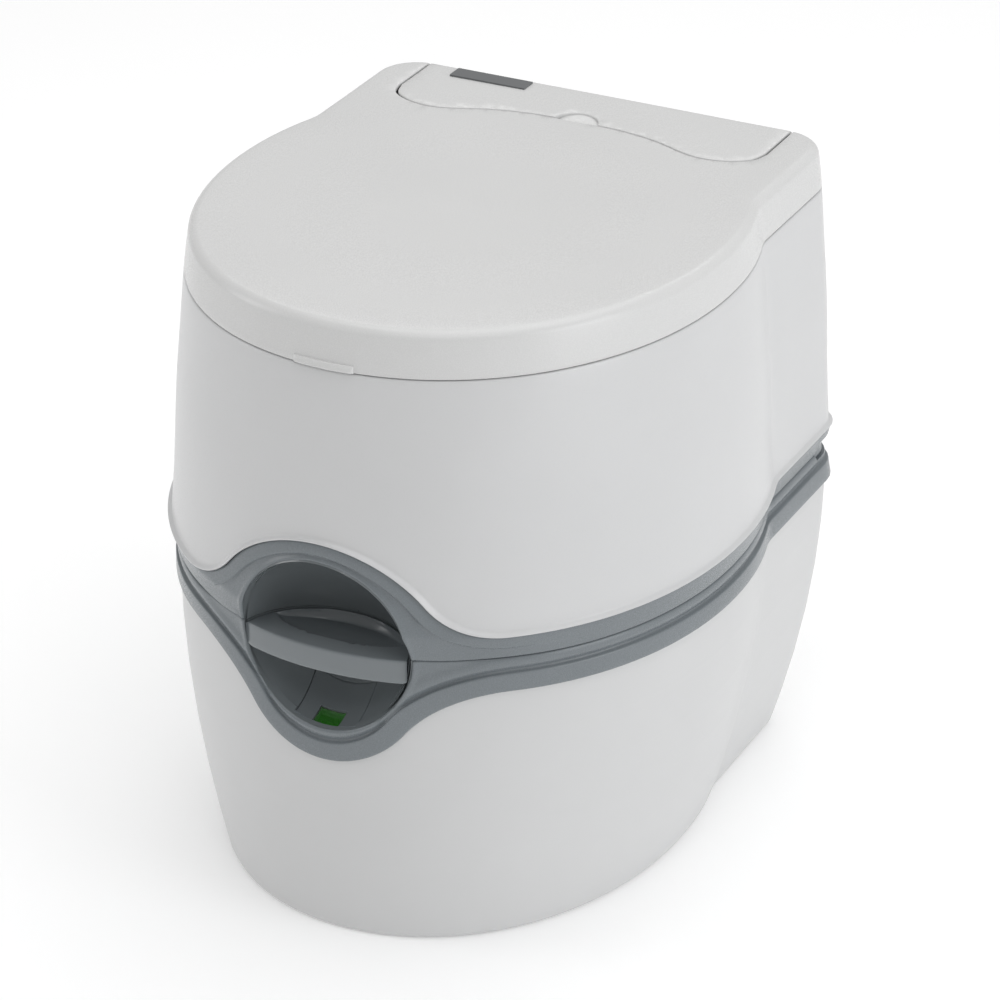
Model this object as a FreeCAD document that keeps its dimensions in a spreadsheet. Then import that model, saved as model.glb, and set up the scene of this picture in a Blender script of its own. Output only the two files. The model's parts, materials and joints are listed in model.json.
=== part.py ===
# Portable cassette toilet: a waste tank below, a flush-water section with the bowl above,
# a grey two-part trim band round the joint, and a lid, a seat and a rear service cover on top.
# Frame: +Z up, front of the toilet towards -Y, origin at the middle of the footprint on the floor.
# All sizes are in millimetres.
import FreeCAD, Part
import math
import os

import Sketcher

Vector = FreeCAD.Vector
DOC = FreeCAD.newDocument("CassetteToilet")

# ---------------------------------------------------------------------------
# Driving dimensions: alias, value, meaning
# ---------------------------------------------------------------------------
DIMENSIONS = [
    ("lid_top_z", 446.0, "top of the closed lid"),
    ("seam_z", 415.2, "lower edge of the lid"),
    ("shell_top_z", 413.8, "upper edge of the white upper shell"),
    ("shell_edge_z", 240.3, "level part of the upper shell's lower edge"),
    ("split_z", 222.2, "joint between the upper and the lower section"),
    ("band_low_z", 197.8, "level part of the lower trim's lower edge"),
    ("deck_z", 403.0, "underside of the deck round the bowl"),
    ("deck_thick", 3.0, "deck thickness"),
    ("tank_top_z", 203.0, "top face of the waste tank"),
    ("wall", 3.0, "wall of the moulded shells"),
    ("plan_centre_y", 8.2, "centre of the round front half"),
    ("plan_power", 2.05, "exponent of the front half's superellipse"),
    ("split_gap", 0.4, "gap between the two trim halves"),
    ("eye_radius", 60.0, "radius of the round handle recess"),
    ("dish_depth", 55.0, "depth of the handle recess"),
    ("dish_rise", 61.0, "half height of the handle recess's dish"),
    ("dish_wall", 2.8, "wall of the handle recess"),
    ("dish_front_y", -216.4, "plane of the recess's widest section"),
    ("crest_height", 56.1, "rise of the upper trim's edge over the handle recess"),
    ("crest_radius", 90.0, "radius of that edge's crest"),
    ("crest_reach", 117.0, "half width of the raised edge"),
    ("trough_depth", 59.5, "drop of the lower trim's edge under the handle recess"),
    ("trough_radius", 68.0, "radius of that edge's trough"),
    ("trough_reach", 118.0, "half width of the lowered edge"),
    ("outlet_y", 8.0, "centre of the bowl outlet and the sliding blade's hole"),
    ("outlet_radius", 46.0, "radius of the outlet hole"),
    ("blade_half", 52.0, "half width of the sliding blade"),
    ("blade_z", 211.0, "underside of the sliding blade"),
    ("blade_thick", 2.4, "thickness of the sliding blade"),
    ("blade_rear_y", 62.0, "rear end of the closed blade"),
    ("lid_axis_y", 212.2, "hinge line of the lid and the rear cover"),
    ("lid_axis_z", 419.2, "height of that hinge line"),
    ("knuckle_radius", 4.8, "radius of the lid's hinge knuckles"),
    ("hinge_pin_radius", 2.0, "radius of the lid's hinge pins"),
    ("seat_axis_y", 116.0, "hinge line of the seat"),
    ("seat_axis_z", 415.0, "height of the seat's hinge line"),
    ("seat_knuckle", 6.0, "radius of the seat's hinge knuckles"),
    ("seat_pin_radius", 2.5, "radius of the seat's hinge pins"),
    ("running_gap", 0.06, "radial clearance of the running fits"),
    ("cover_half", 137.0, "half width of the rear service cover"),
    ("cover_gap", 1.6, "gap between the rear cover and the lid"),
    ("fill_x", -70.0, "centre of the filler cap"),
    ("pump_x", 70.0, "centre of the flush pump"),
    ("service_y", 182.0, "distance of the filler and the pump from the middle"),
    ("fill_cap_radius", 26.0, "radius of the filler cap"),
    ("pump_knob_radius", 20.0, "radius of the pump knob"),
    ("pump_stroke", 28.0, "stroke of the flush pump"),
    ("pump_bore", 15.0, "inner radius of the pump cylinder"),
    ("spout_x", 118.0, "swivel axis of the pour-out spout"),
    ("spout_y", 196.5, "swivel axis of the pour-out spout"),
    ("spout_z", 171.5, "height of the stowed spout's arm"),
    ("spout_radius", 17.0, "outer radius of the spout's pipe"),
    ("spout_cap_radius", 19.5, "radius of the spout's screw cap"),
    ("vent_x", -120.0, "centre of the vent button"),
    ("vent_z", 170.0, "height of the vent button"),
    ("latch_half", 20.0, "half width of the rear latch"),
    ("latch_axis_y", 218.6, "hinge line of the rear latch"),
    ("latch_axis_z", 233.0, "height of the latch's hinge line"),
    ("float_axis_y", -176.0, "hinge line of the level float"),
    ("float_axis_z", 147.0, "height of the float's hinge line"),
]

SHEET = DOC.addObject("Spreadsheet::Sheet", "Dimensions")
for row, (alias, value, meaning) in enumerate(DIMENSIONS, start=1):
    SHEET.set("A%d" % row, alias)
    SHEET.set("B%d" % row, str(value))
    SHEET.set("C%d" % row, meaning)
    SHEET.setAlias("B%d" % row, alias)
DOC.recompute()


def dim(alias):
    """One driving dimension, read from the sheet."""
    return float(getattr(SHEET, alias))


# Plan sizes at named heights: z, half width of the round front, its length, half width of the
# straight rear block, and where the rear wall stands.
PLAN_LEVELS = [
    (dim("band_low_z"), 193.5, 222.6, 182.2, 220.8),
    (dim("split_z"), 192.4, 224.6, 178.2, 219.6),
    (dim("shell_edge_z"), 197.4, 230.0, 183.7, 221.0),
    (dim("seam_z"), 182.2, 213.1, 168.4, 217.0),
    (dim("lid_top_z"), 178.6, 208.6, 165.4, 215.0),
]
SHELL_REAR = 217.6           # the white shell's rear wall stands upright above the trim
TANK_TOP_PLAN = (190.9, 219.8, 179.6, 216.6)
TANK_FOOT_PLAN = (158.8, 205.3, 150.8, 202.6)
TANK_CURVE = 1.92            # how the tank's flare eases towards its top
TANK_FLARE_Z = 195.0
REAR_CORNER = 30.0
WAIST_BLEND = 7.0

PARTS = {}


def keep(obj, label):
    """Register a finished sub-part under its node name."""
    obj.Label = label
    PARTS[label] = obj
    return obj


# ---------------------------------------------------------------------------
# Plan outlines and lofted skins
# ---------------------------------------------------------------------------
def plan_at(z):
    """Plan sizes of the outer envelope above the waste tank, by straight drafts."""
    levels = PLAN_LEVELS
    z = min(max(z, levels[0][0]), levels[-1][0])
    for low, high in zip(levels, levels[1:]):
        if z <= high[0]:
            share = (z - low[0]) / (high[0] - low[0])
            return tuple(lo + share * (hi - lo) for lo, hi in zip(low[1:], high[1:]))
    return levels[-1][1:]


def tank_plan_at(z):
    """Plan sizes of the waste tank, which flares from its foot like a bowl."""
    share = (max(TANK_FLARE_Z - z, 0.0) / TANK_FLARE_Z) ** TANK_CURVE
    return tuple(top - share * (top - foot) for top, foot in zip(TANK_TOP_PLAN, TANK_FOOT_PLAN))


def outline(z, plan, inset=0.0):
    """Closed plan wire at height z: round front, waist, straight block with round rear corners."""
    half, length, block, rear = (size - inset for size in plan)
    power = dim("plan_power")
    centre = dim("plan_centre_y")
    waist_y = centre + length * (1 - (block / half) ** power) ** (1 / power) - WAIST_BLEND
    waist_x = half * (1 - ((waist_y - centre) / length) ** power) ** (1 / power)
    waist_s = ((waist_y - centre) / length) ** (power / 2)
    start = math.asin(waist_s)
    count = 25
    points = []
    for i in range(count):
        angle = start - (math.pi + 2 * start) * i / (count - 1)
        c, s = math.cos(angle), math.sin(angle)
        x = half * math.copysign(abs(c) ** (2 / power), c)
        y = centre + length * math.copysign(abs(s) ** (2 / power), s)
        points.append(Vector(x, y, z))
    curve = Part.BSplineCurve()
    curve.interpolate(points)
    side_y = waist_y + 2 * WAIST_BLEND
    corner = REAR_CORNER - inset
    bend = corner * (1 - math.sqrt(0.5))
    edges = [curve.toShape()]
    right = [Vector(waist_x, waist_y, z), Vector(block, waist_y + WAIST_BLEND, z), Vector(block, side_y, z)]
    left = [Vector(-p.x, p.y, z) for p in right]
    blend = Part.BezierCurve()
    blend.setPoles(left)
    edges.append(blend.toShape())
    edges.append(Part.makeLine(left[2], Vector(-block, rear - corner, z)))
    edges.append(Part.Arc(Vector(-block, rear - corner, z), Vector(-block + bend, rear - bend, z),
                          Vector(-block + corner, rear, z)).toShape())
    edges.append(Part.makeLine(Vector(-block + corner, rear, z), Vector(block - corner, rear, z)))
    edges.append(Part.Arc(Vector(block - corner, rear, z), Vector(block - bend, rear - bend, z),
                          Vector(block, rear - corner, z)).toShape())
    edges.append(Part.makeLine(Vector(block, rear - corner, z), right[2]))
    blend = Part.BezierCurve()
    blend.setPoles(right[::-1])
    edges.append(blend.toShape())
    return Part.Wire(edges)


def skin(levels):
    """Closed solid through outlines given as (z, plan, inset)."""
    return Part.makeLoft([outline(*level) for level in levels], True, True)


def envelope(bottom, top, inset, rear=None):
    """Outer envelope of the trim and the upper section between two heights."""
    inner = [level[0] for level in PLAN_LEVELS if bottom < level[0] < top]
    levels = []
    for z in [bottom] + inner + [top]:
        plan = plan_at(z)
        if rear is not None:
            plan = plan[:3] + (rear,)
        levels.append((z, plan, inset))
    return skin(levels)


def box(x0, x1, y0, y1, z0, z1):
    """Box between two corners."""
    return Part.makeBox(x1 - x0, y1 - y0, z1 - z0, Vector(x0, y0, z0))


def tube_z(x, y, z0, z1, outer, inner=0.0):
    """Upright cylinder, hollow when an inner radius is given."""
    solid = Part.makeCylinder(outer, z1 - z0, Vector(x, y, z0))
    if inner:
        solid = solid.cut(Part.makeCylinder(inner, z1 - z0, Vector(x, y, z0)))
    return solid


def rod_x(x0, x1, y, z, radius):
    """Cylinder along X."""
    return Part.makeCylinder(radius, x1 - x0, Vector(x0, y, z), Vector(1, 0, 0))


def rod_y(x, y0, y1, z, radius):
    """Cylinder along Y."""
    return Part.makeCylinder(radius, y1 - y0, Vector(x, y0, z), Vector(0, 1, 0))


def dish(grow):
    """Ellipsoid of the handle recess, grown by a distance."""
    matrix = FreeCAD.Matrix()
    matrix.scale(dim("eye_radius") + grow, dim("dish_depth") + grow, dim("dish_rise") + grow)
    ball = Part.makeSphere(1.0).transformGeometry(matrix)
    ball.translate(Vector(0, dim("dish_front_y"), dim("split_z")))
    return ball


FAR = 260.0                  # beyond the toilet on every side


def wave(level, rise, radius, reach):
    """Edges of a level line that swells smoothly to a crest (or trough) at x = 0, from left to right."""
    sign = 1 if rise > 0 else -1
    height = abs(rise)
    total = (reach ** 2 + height ** 2) / (2 * height)
    flank = total - radius
    crest_z = level + sign * (height - radius)
    flank_z = level + sign * flank
    share = radius / total
    join = Vector(reach * share, 0, crest_z + (flank_z - crest_z) * share)
    turn = math.atan2(reach - join.x, abs(flank_z - join.z))
    middle = Vector(reach - flank * math.sin(turn / 2), 0, flank_z - sign * flank * math.cos(turn / 2))
    foot = Vector(reach, 0, level)
    crest = Vector(0, 0, level + rise)
    left = [Vector(-p.x, 0, p.z) for p in (foot, middle, join)]
    return [
        Part.makeLine(Vector(-FAR, 0, level), left[0]),
        Part.Arc(left[0], left[1], left[2]).toShape(),
        Part.Arc(left[2], crest, join).toShape(),
        Part.Arc(join, middle, foot).toShape(),
        Part.makeLine(foot, Vector(FAR, 0, level)),
    ]


def front_cutter(level, rise, radius, reach, far_z):
    """Everything between a waved edge and the height far_z over the front half, level over the rear."""
    edges = wave(level, rise, radius, reach)
    edges.append(Part.makeLine(Vector(FAR, 0, level), Vector(FAR, 0, far_z)))
    edges.append(Part.makeLine(Vector(FAR, 0, far_z), Vector(-FAR, 0, far_z)))
    edges.append(Part.makeLine(Vector(-FAR, 0, far_z), Vector(-FAR, 0, level)))
    front = Part.Face(Part.Wire(edges)).extrude(Vector(0, -FAR, 0))
    low, high = min(level, far_z), max(level, far_z)
    return front.fuse(box(-FAR, FAR, 0, FAR, low, high))


def upper_wave(offset, far_z):
    """Region bounded by the upper shell's lower edge, moved down by an offset."""
    return front_cutter(dim("shell_edge_z") - offset, dim("crest_height"),
                        dim("crest_radius") - offset, dim("crest_reach"), far_z)


def lower_wave(offset, far_z):
    """Region bounded by the lower trim's lower edge, moved up by an offset."""
    return front_cutter(dim("band_low_z") + offset, -dim("trough_depth"),
                        dim("trough_radius"), dim("trough_reach"), far_z)


def feature(label, shape):
    """Sculpted sub-part whose skin no sketch or primitive gives."""
    obj = DOC.addObject("Part::Feature", label)
    obj.Shape = shape
    obj.Placement = shape.Placement
    return keep(obj, label)


# ---------------------------------------------------------------------------
# Sketched and primitive sub-parts
# ---------------------------------------------------------------------------
def plane_of(body, role):
    """One of a body's own origin planes."""
    for item in body.Origin.OriginFeatures:
        if item.Role == role:
            return item
    raise ValueError(role)


def new_body(label, x=0.0, y=0.0, z=0.0):
    """Body placed in the frame; each coordinate is a number or a spreadsheet expression."""
    body = DOC.addObject("PartDesign::Body", label)
    body.Placement = FreeCAD.Placement(Vector(0, 0, 0), FreeCAD.Rotation())
    for axis, value in zip("xyz", (x, y, z)):
        if isinstance(value, str):
            body.setExpression(".Placement.Base." + axis, value)
        else:
            setattr(body.Placement.Base, axis, value)
            body.setExpression(".Placement.Base." + axis, "%g" % value)
    return keep(body, label)


def sketch_on(body, role, name):
    """Empty sketch on one of the body's origin planes."""
    sketch = body.newObject("Sketcher::SketchObject", body.Name + name)
    sketch.AttachmentSupport = (plane_of(body, role), [""])
    sketch.MapMode = "FlatFace"
    return sketch


def add_circle(sketch, radius, x=0.0, y=0.0):
    """Circle with a radius that is a number or an expression."""
    start = radius if isinstance(radius, (int, float)) else 5.0
    index = sketch.addGeometry(Part.Circle(Vector(x, y, 0), Vector(0, 0, 1), start), False)
    rule = sketch.addConstraint(Sketcher.Constraint("Radius", index, start))
    if isinstance(radius, str):
        sketch.setExpression("Constraints[%d]" % rule, radius)
    return index


def add_polygon(sketch, points):
    """Closed polygon through two-dimensional points."""
    count = len(points)
    for i in range(count):
        a, b = points[i], points[(i + 1) % count]
        sketch.addGeometry(Part.LineSegment(Vector(a[0], a[1], 0), Vector(b[0], b[1], 0)), False)
    for i in range(count):
        sketch.addConstraint(Sketcher.Constraint("Coincident", i, 2, (i + 1) % count, 1))


def pad(body, sketch, length, name="Pad"):
    """Pad of a sketch, its length a number or an expression."""
    item = body.newObject("PartDesign::Pad", body.Name + name)
    item.Profile = sketch
    if isinstance(length, str):
        item.setExpression("Length", length)
    else:
        item.Length = length
    return item


def disc(label, x, y, z, outer, height, inner=None):
    """Round plate or ring standing on its height, padded from one sketch."""
    body = new_body(label, x, y, z)
    sketch = sketch_on(body, "XY_Plane", "Outline")
    add_circle(sketch, outer)
    if inner is not None:
        add_circle(sketch, inner)
    pad(body, sketch, height)
    return body


def turned(label, x, y, z, profile):
    """Turned piece: a profile of (radius, height) points revolved about the upright axis."""
    body = new_body(label, x, y, z)
    sketch = sketch_on(body, "XZ_Plane", "Profile")
    add_polygon(sketch, profile)
    item = body.newObject("PartDesign::Revolution", body.Name + "Turn")
    item.Profile = sketch
    item.ReferenceAxis = (sketch, ["V_Axis"])
    item.Angle = 360.0
    return body


def placed(obj, x=0.0, y=0.0, z=0.0, axis=None, angle=0.0):
    """Place a primitive; coordinates are numbers or expressions."""
    turn = FreeCAD.Rotation(Vector(*axis), angle) if axis else FreeCAD.Rotation()
    obj.Placement = FreeCAD.Placement(Vector(0, 0, 0), turn)
    for name, value in zip("xyz", (x, y, z)):
        text = value if isinstance(value, str) else "%g" % value
        obj.setExpression(".Placement.Base." + name, text)
    return obj


def cylinder(name, radius, height, **place):
    """Cylinder primitive with expressions for its sizes."""
    obj = DOC.addObject("Part::Cylinder", name)
    obj.setExpression("Radius", radius if isinstance(radius, str) else "%g" % radius)
    obj.setExpression("Height", height if isinstance(height, str) else "%g" % height)
    return placed(obj, **place)


def block(name, length, width, height, **place):
    """Box primitive with expressions for its sizes."""
    obj = DOC.addObject("Part::Box", name)
    for key, value in (("Length", length), ("Width", width), ("Height", height)):
        obj.setExpression(key, value if isinstance(value, str) else "%g" % value)
    return placed(obj, **place)


def cut(label, base, tool):
    """Boolean cut as a sub-part."""
    obj = DOC.addObject("Part::Cut", label)
    obj.Base = base
    obj.Tool = tool
    return keep(obj, label)


def group(label, items):
    """Several separate solids of one kind kept as one sub-part."""
    obj = DOC.addObject("Part::Compound", label)
    obj.Links = items
    return keep(obj, label)


# ---------------------------------------------------------------------------
# Waste tank and what is fixed to it
# ---------------------------------------------------------------------------
TANK_HEIGHTS = [12.0, 30.0, 60.0, 95.0, 130.0, 165.0, 190.0]
FOOT_ROUND = 5.0             # the tank's foot is rounded by this radius
SPOUT_BAY = (-72.0, 142.0, 171.0, 146.0, 196.5)      # x0, x1, front y, floor z, roof z
WINDOW = (-10.0, 9.0, -209.6, -195.0)                # x0, x1, y0, y1 of the level window
FRAME_SCREWS = [(-60.0, -60.0), (60.0, -60.0), (-60.0, 10.0), (60.0, 10.0), (-60.0, 70.0), (60.0, 70.0)]
WINDOW_SINK = 1.0            # the window lies this far below the recess's surface
WINDOW_CUT = (145.0, 175.0)  # heights between which the window's opening is cut
PANEL = (-22.0, 22.0, -209.4, -178.0)                # x0, x1, y0, y1 of the panel round the window
TRIM_PROUD = 2.6             # the trim stands this far out of the waste tank


def tank_levels(inset, top):
    """Outlines of the tank from its rounded foot upwards."""
    levels = [(0.0, tank_plan_at(0.0), inset + FOOT_ROUND)]
    for angle in (30.0, 60.0, 90.0):
        turn = math.radians(angle)
        z = FOOT_ROUND * (1 - math.cos(turn))
        levels.append((z, tank_plan_at(z), inset + FOOT_ROUND * (1 - math.sin(turn))))
    levels += [(z, tank_plan_at(z), inset) for z in TANK_HEIGHTS + [top]]
    return levels


def waste_tank():
    """Blow-moulded tank: hollow, with a front pocket for the handle and a rear bay for the spout."""
    wall = dim("wall")
    top = dim("tank_top_z")
    x0, x1, bay_y, bay_z0, bay_z1 = SPOUT_BAY
    body = skin(tank_levels(0.0, top))
    pocket = dish(dim("dish_wall") + 0.4)
    bay = box(x0, x1, bay_y, 260, bay_z0, bay_z1)
    hollow = skin([(z, plan, wall) for z, plan in
                   [(z, tank_plan_at(z)) for z in [wall] + TANK_HEIGHTS + [top - wall]]])
    hollow = hollow.cut(dish(dim("dish_wall") + 0.4 + wall))
    hollow = hollow.cut(box(x0 - wall, x1 + wall, bay_y - wall, 260, bay_z0 - wall, bay_z1 + wall))
    body = body.cut(pocket).cut(bay).cut(hollow)
    body = body.cut(tube_z(0, dim("outlet_y"), top - 5, top + 5, dim("outlet_radius")))
    body = body.cut(tube_z(dim("spout_x"), dim("spout_y"), 130, bay_z0 + 2, dim("spout_radius") + 1.2))
    body = body.cut(rod_y(dim("vent_x"), 205, 225, dim("vent_z"), 3.4))
    wx0, wx1, wy0, wy1 = WINDOW
    body = body.cut(box(wx0, wx1, wy0, wy1, *WINDOW_CUT))
    feature("waste_tank", body)


def lower_trim():
    """Grey band round the tank's top, dipping under the handle recess."""
    split = dim("split_z")
    low = dim("band_low_z")
    top = dim("tank_top_z")
    heights = [130.0, 150.0, 175.0]
    outer = skin([(z, tank_plan_at(z), -TRIM_PROUD) for z in heights]
                 + [(low, plan_at(low), 0.0), (split, plan_at(split), 0.0)])
    inner = skin([(z, tank_plan_at(z), -0.15) for z in [125.0] + heights + [top + 1.2]])
    rim = envelope(top + 1.2, split + 2, dim("wall"))
    body = outer.cut(inner).cut(rim)
    body = body.cut(lower_wave(0.0, 120.0))
    body = body.cut(rod_y(0, -260, -150, split, dim("eye_radius")))
    feature("lower_trim", body)


def lower_recess():
    """Lower half of the round recess, with the blade's slot and the level window's hole."""
    split = dim("split_z")
    shell = dish(dim("dish_wall")).cut(dish(0.0)).common(box(-80, 80, -240, -120, 130, split - 0.2))
    behind = skin([(z, tank_plan_at(z), -0.15 + 0.1) for z in (130.0, 150.0, 175.0, 204.0)])
    behind = behind.fuse(envelope(204.0, split + 2, dim("wall") + 0.1))
    shell = shell.common(behind)
    slot = box(-dim("blade_half") - 0.8, dim("blade_half") + 0.8, -200, -120, dim("blade_z") - 0.8,
               dim("blade_z") + dim("blade_thick") + 0.8)
    shell = shell.cut(slot)
    wx0, wx1, wy0, wy1 = WINDOW
    shell = shell.cut(box(wx0, wx1, wy0, wy1, *WINDOW_CUT))
    feature("lower_recess", shell)


def indicator_panel():
    """Thin panel laid in the recess round the level window."""
    wx0, wx1, wy0, wy1 = WINDOW
    shell = dish(-0.05).cut(dish(-0.9))
    shell = shell.common(box(*PANEL, 130, 190))
    shell = shell.cut(box(wx0 - 0.2, wx1 + 0.2, wy0 - 0.2, wy1 + 0.2, 130, 200))
    feature("indicator_panel", shell)


def indicator_window():
    """Clear plug in the recess and the tank wall, over the level indicator."""
    wx0, wx1, wy0, wy1 = WINDOW
    plug = box(wx0 + 0.05, wx1 - 0.05, wy0 + 0.05, wy1 - 0.05, *WINDOW_CUT)
    plug = plug.common(dish(dim("dish_wall") + 3.2)).cut(dish(WINDOW_SINK))
    feature("indicator_window", plug)


def valve_frame():
    """Guide plate on the tank's deck that carries the sliding blade."""
    base = dim("tank_top_z")
    blade = dim("blade_z")
    half = dim("blade_half")
    plate = box(-66, 66, -145, 76, base, base + 13)
    plate = plate.cut(dish(dim("dish_wall") + 0.3))
    plate = plate.cut(box(-half - 0.3, half + 0.3, -150, dim("blade_rear_y") + 4, blade - 0.2,
                          blade + dim("blade_thick") + 0.2))
    plate = plate.cut(tube_z(0, dim("outlet_y"), base - 1, base + 20, dim("outlet_radius")))
    plate = plate.cut(tube_z(0, dim("outlet_y"), blade + dim("blade_thick") + 0.2, base + 20,
                             dim("outlet_radius") + 6.2))
    for x, y in FRAME_SCREWS:
        plate = plate.cut(tube_z(x, y, base, base + 20, 1.8))
        plate = plate.cut(tube_z(x, y, base + 10.6, base + 20, 3.4))
    feature("valve_frame", plate)


def screw(name, x, y, head_z, shank, length, head, head_height):
    """Pan-head screw pointing down, its head's top at head_z + head_height."""
    body = new_body(name, x, y, head_z)
    profile = [(0, -length), (shank - 0.4, -length), (shank, -length + 1), (shank, 0), (head, 0),
               (head, head_height * 0.6), (head * 0.6, head_height), (0, head_height)]
    sketch = sketch_on(body, "XZ_Plane", "Profile")
    add_polygon(sketch, profile)
    item = body.newObject("PartDesign::Revolution", body.Name + "Turn")
    item.Profile = sketch
    item.ReferenceAxis = (sketch, ["V_Axis"])
    item.Angle = 360.0
    del PARTS[name]
    return body


def valve_frame_screws():
    """Six screws that hold the guide plate on the deck."""
    screws = []
    for i, (x, y) in enumerate(FRAME_SCREWS):
        screws.append(screw("frame_screw_%d" % i, x, y, dim("tank_top_z") + 10.7, 1.75, 10.5, 3.2, 1.8))
    group("valve_frame_screws", screws)


def valve_lip_seal():
    """Rubber ring that wipes the blade."""
    disc("valve_lip_seal", 0, "Dimensions.outlet_y", "Dimensions.blade_z + Dimensions.blade_thick + 0.25",
         "Dimensions.outlet_radius + 6.1", "Dimensions.tank_top_z + 13 - Dimensions.blade_z "
         "- Dimensions.blade_thick - 0.35", "Dimensions.outlet_radius + 0.2")


def float_bracket():
    """Two ears under the front pocket that hold the float's pin."""
    axis_y, axis_z = dim("float_axis_y"), dim("float_axis_z")
    shape = None
    for x in (-9.0, 6.0):
        ear = box(x, x + 3, axis_y - 4, axis_y + 4, axis_z - 4, 190)
        ear = ear.cut(dish(dim("dish_wall") + 3.45)).cut(rod_x(x - 1, x + 4, axis_y, axis_z, 1.56))
        ear = ear.cut(box(x - 1, x + 4, axis_y - 5, axis_y + 5, 175, 195))
        shape = ear if shape is None else shape.fuse(ear)
    bridge = box(-9, 9, axis_y - 4, axis_y + 4, axis_z + 14, 190).cut(dish(dim("dish_wall") + 3.45))
    bridge = bridge.cut(box(-20, 20, axis_y - 5, axis_y + 5, 175, 195))
    feature("float_bracket", shape.fuse(bridge))


def float_pivot_pin():
    """Pin of the level float."""
    keep(cylinder("float_pivot_pin", 1.5, 20.0, x=-10.0, y="Dimensions.float_axis_y",
                  z="Dimensions.float_axis_z", axis=(0, 1, 0), angle=90), "float_pivot_pin")


def spout_seal():
    """Ring seal round the pour-out spout's stub."""
    disc("spout_seal", "Dimensions.spout_x", "Dimensions.spout_y", SPOUT_BAY[3] + 0.05,
         "Dimensions.spout_radius + 3", 2.4, "Dimensions.spout_radius + 0.15")


def vent_seal():
    """Ring seal inside the tank, closed by the vent valve's disc."""
    body = cylinder("vent_seal_outer", 7.0, 2.0, x="Dimensions.vent_x", y=213.0, z="Dimensions.vent_z",
                    axis=(1, 0, 0), angle=90)
    hole = cylinder("vent_seal_hole", 3.6, 3.0, x="Dimensions.vent_x", y=213.5, z="Dimensions.vent_z",
                    axis=(1, 0, 0), angle=90)
    cut("vent_seal", body, hole)


# ---------------------------------------------------------------------------
# Sliding blade with its pull handle
# ---------------------------------------------------------------------------
def valve_blade():
    """Flat blade that closes the tank under the bowl, its rear end round."""
    body = new_body("valve_blade", 0, 0, "Dimensions.blade_z")
    sketch = sketch_on(body, "XY_Plane", "Outline")
    half = dim("blade_half")
    front, rear = -189.5, dim("blade_rear_y")
    corner = 24.0
    bend = corner * (1 - math.sqrt(0.5))
    lines = [((-half, rear - corner), (-half, front)), ((-half, front), (half, front)),
             ((half, front), (half, rear - corner))]
    for a, b in lines:
        sketch.addGeometry(Part.LineSegment(Vector(a[0], a[1], 0), Vector(b[0], b[1], 0)), False)
    sketch.addGeometry(Part.Arc(Vector(half, rear - corner, 0), Vector(half - bend, rear - bend, 0),
                                Vector(half - corner, rear, 0)), False)
    sketch.addGeometry(Part.LineSegment(Vector(half - corner, rear, 0), Vector(-half + corner, rear, 0)), False)
    sketch.addGeometry(Part.Arc(Vector(-half + corner, rear, 0), Vector(-half + bend, rear - bend, 0),
                                Vector(-half, rear - corner, 0)), False)
    pad(body, sketch, "Dimensions.blade_thick")


HANDLE_HEIGHT = 17.4         # height of the pull handle
HANDLE_TOP_GAP = 0.8         # its top lies this far under the split
SCOOP_SIZE = (54.0, 24.5, 13.0)      # half sizes of the finger hollow's ellipsoid
SCOOP_Y = -178.0
SCOOP_RISE = 5.6             # the ellipsoid's centre lies this far above the split


def valve_handle():
    """Lens-shaped pull handle that fills the recess at the split, scooped on top."""
    split = dim("split_z")
    high = split - HANDLE_TOP_GAP
    body = dish(-1.2).common(box(-80, 80, -240, -120, high - HANDLE_HEIGHT, high))
    front = skin([(190.0, plan_at(split), 1.6), (240.0, plan_at(split), 1.6)])
    body = body.common(front)
    matrix = FreeCAD.Matrix()
    matrix.scale(*SCOOP_SIZE)
    scoop = Part.makeSphere(1.0).transformGeometry(matrix)
    scoop.translate(Vector(0, SCOOP_Y, split + SCOOP_RISE))
    body = body.cut(scoop)
    half = dim("blade_half") + 0.05
    blade = dim("blade_z")
    body = body.cut(box(-half, half, -189.6, -120, blade - 0.05, blade + dim("blade_thick") + 0.05))
    feature("valve_handle", body)


def handle_screws():
    """Two screws from below that clamp the handle on the blade."""
    screws = []
    for i, x in enumerate((-26.0, 26.0)):
        body = cylinder("handle_screw_%d" % i, 2.6, 1.6, x=x, y=-184.0, z="Dimensions.split_z - 20")
        screws.append(body)
    group("handle_screws", screws)


# ---------------------------------------------------------------------------
# Level float
# ---------------------------------------------------------------------------
FLOAT_CENTRE = (-116.0, 82.0)          # y, z
FLOAT_SIZE = (24.0, 14.0, 14.0)        # half sizes of the float


def float_arm():
    """Bent arm: hub on the pivot pin, a lever forward to the flag and a lever back to the float."""
    y, z = dim("float_axis_y"), dim("float_axis_z")
    hub = rod_x(-5.6, 5.6, y, z, 4.0)
    end_y, end_z = FLOAT_CENTRE
    reach = Vector(0, end_y - y, end_z - z)
    arm = Part.makeCylinder(2.2, reach.Length - 12, Vector(0, y, z), reach)
    lever = box(-3, 3, y - 19, y, z - 1.5, z + 1.5)
    shape = hub.fuse(arm).fuse(lever).cut(rod_x(-8, 8, y, z, 1.5 + dim("running_gap")))
    feature("float_arm", shape)


def float_ball():
    """Closed plastic float."""
    matrix = FreeCAD.Matrix()
    matrix.scale(*FLOAT_SIZE)
    ball = Part.makeSphere(1.0).transformGeometry(matrix)
    ball.translate(Vector(0, *FLOAT_CENTRE))
    y, z = dim("float_axis_y"), dim("float_axis_z")
    reach = Vector(0, FLOAT_CENTRE[0] - y, FLOAT_CENTRE[1] - z)
    ball = ball.cut(Part.makeCylinder(2.25, reach.Length - 11.9, Vector(0, y, z), reach))
    feature("float_ball", ball)


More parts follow.
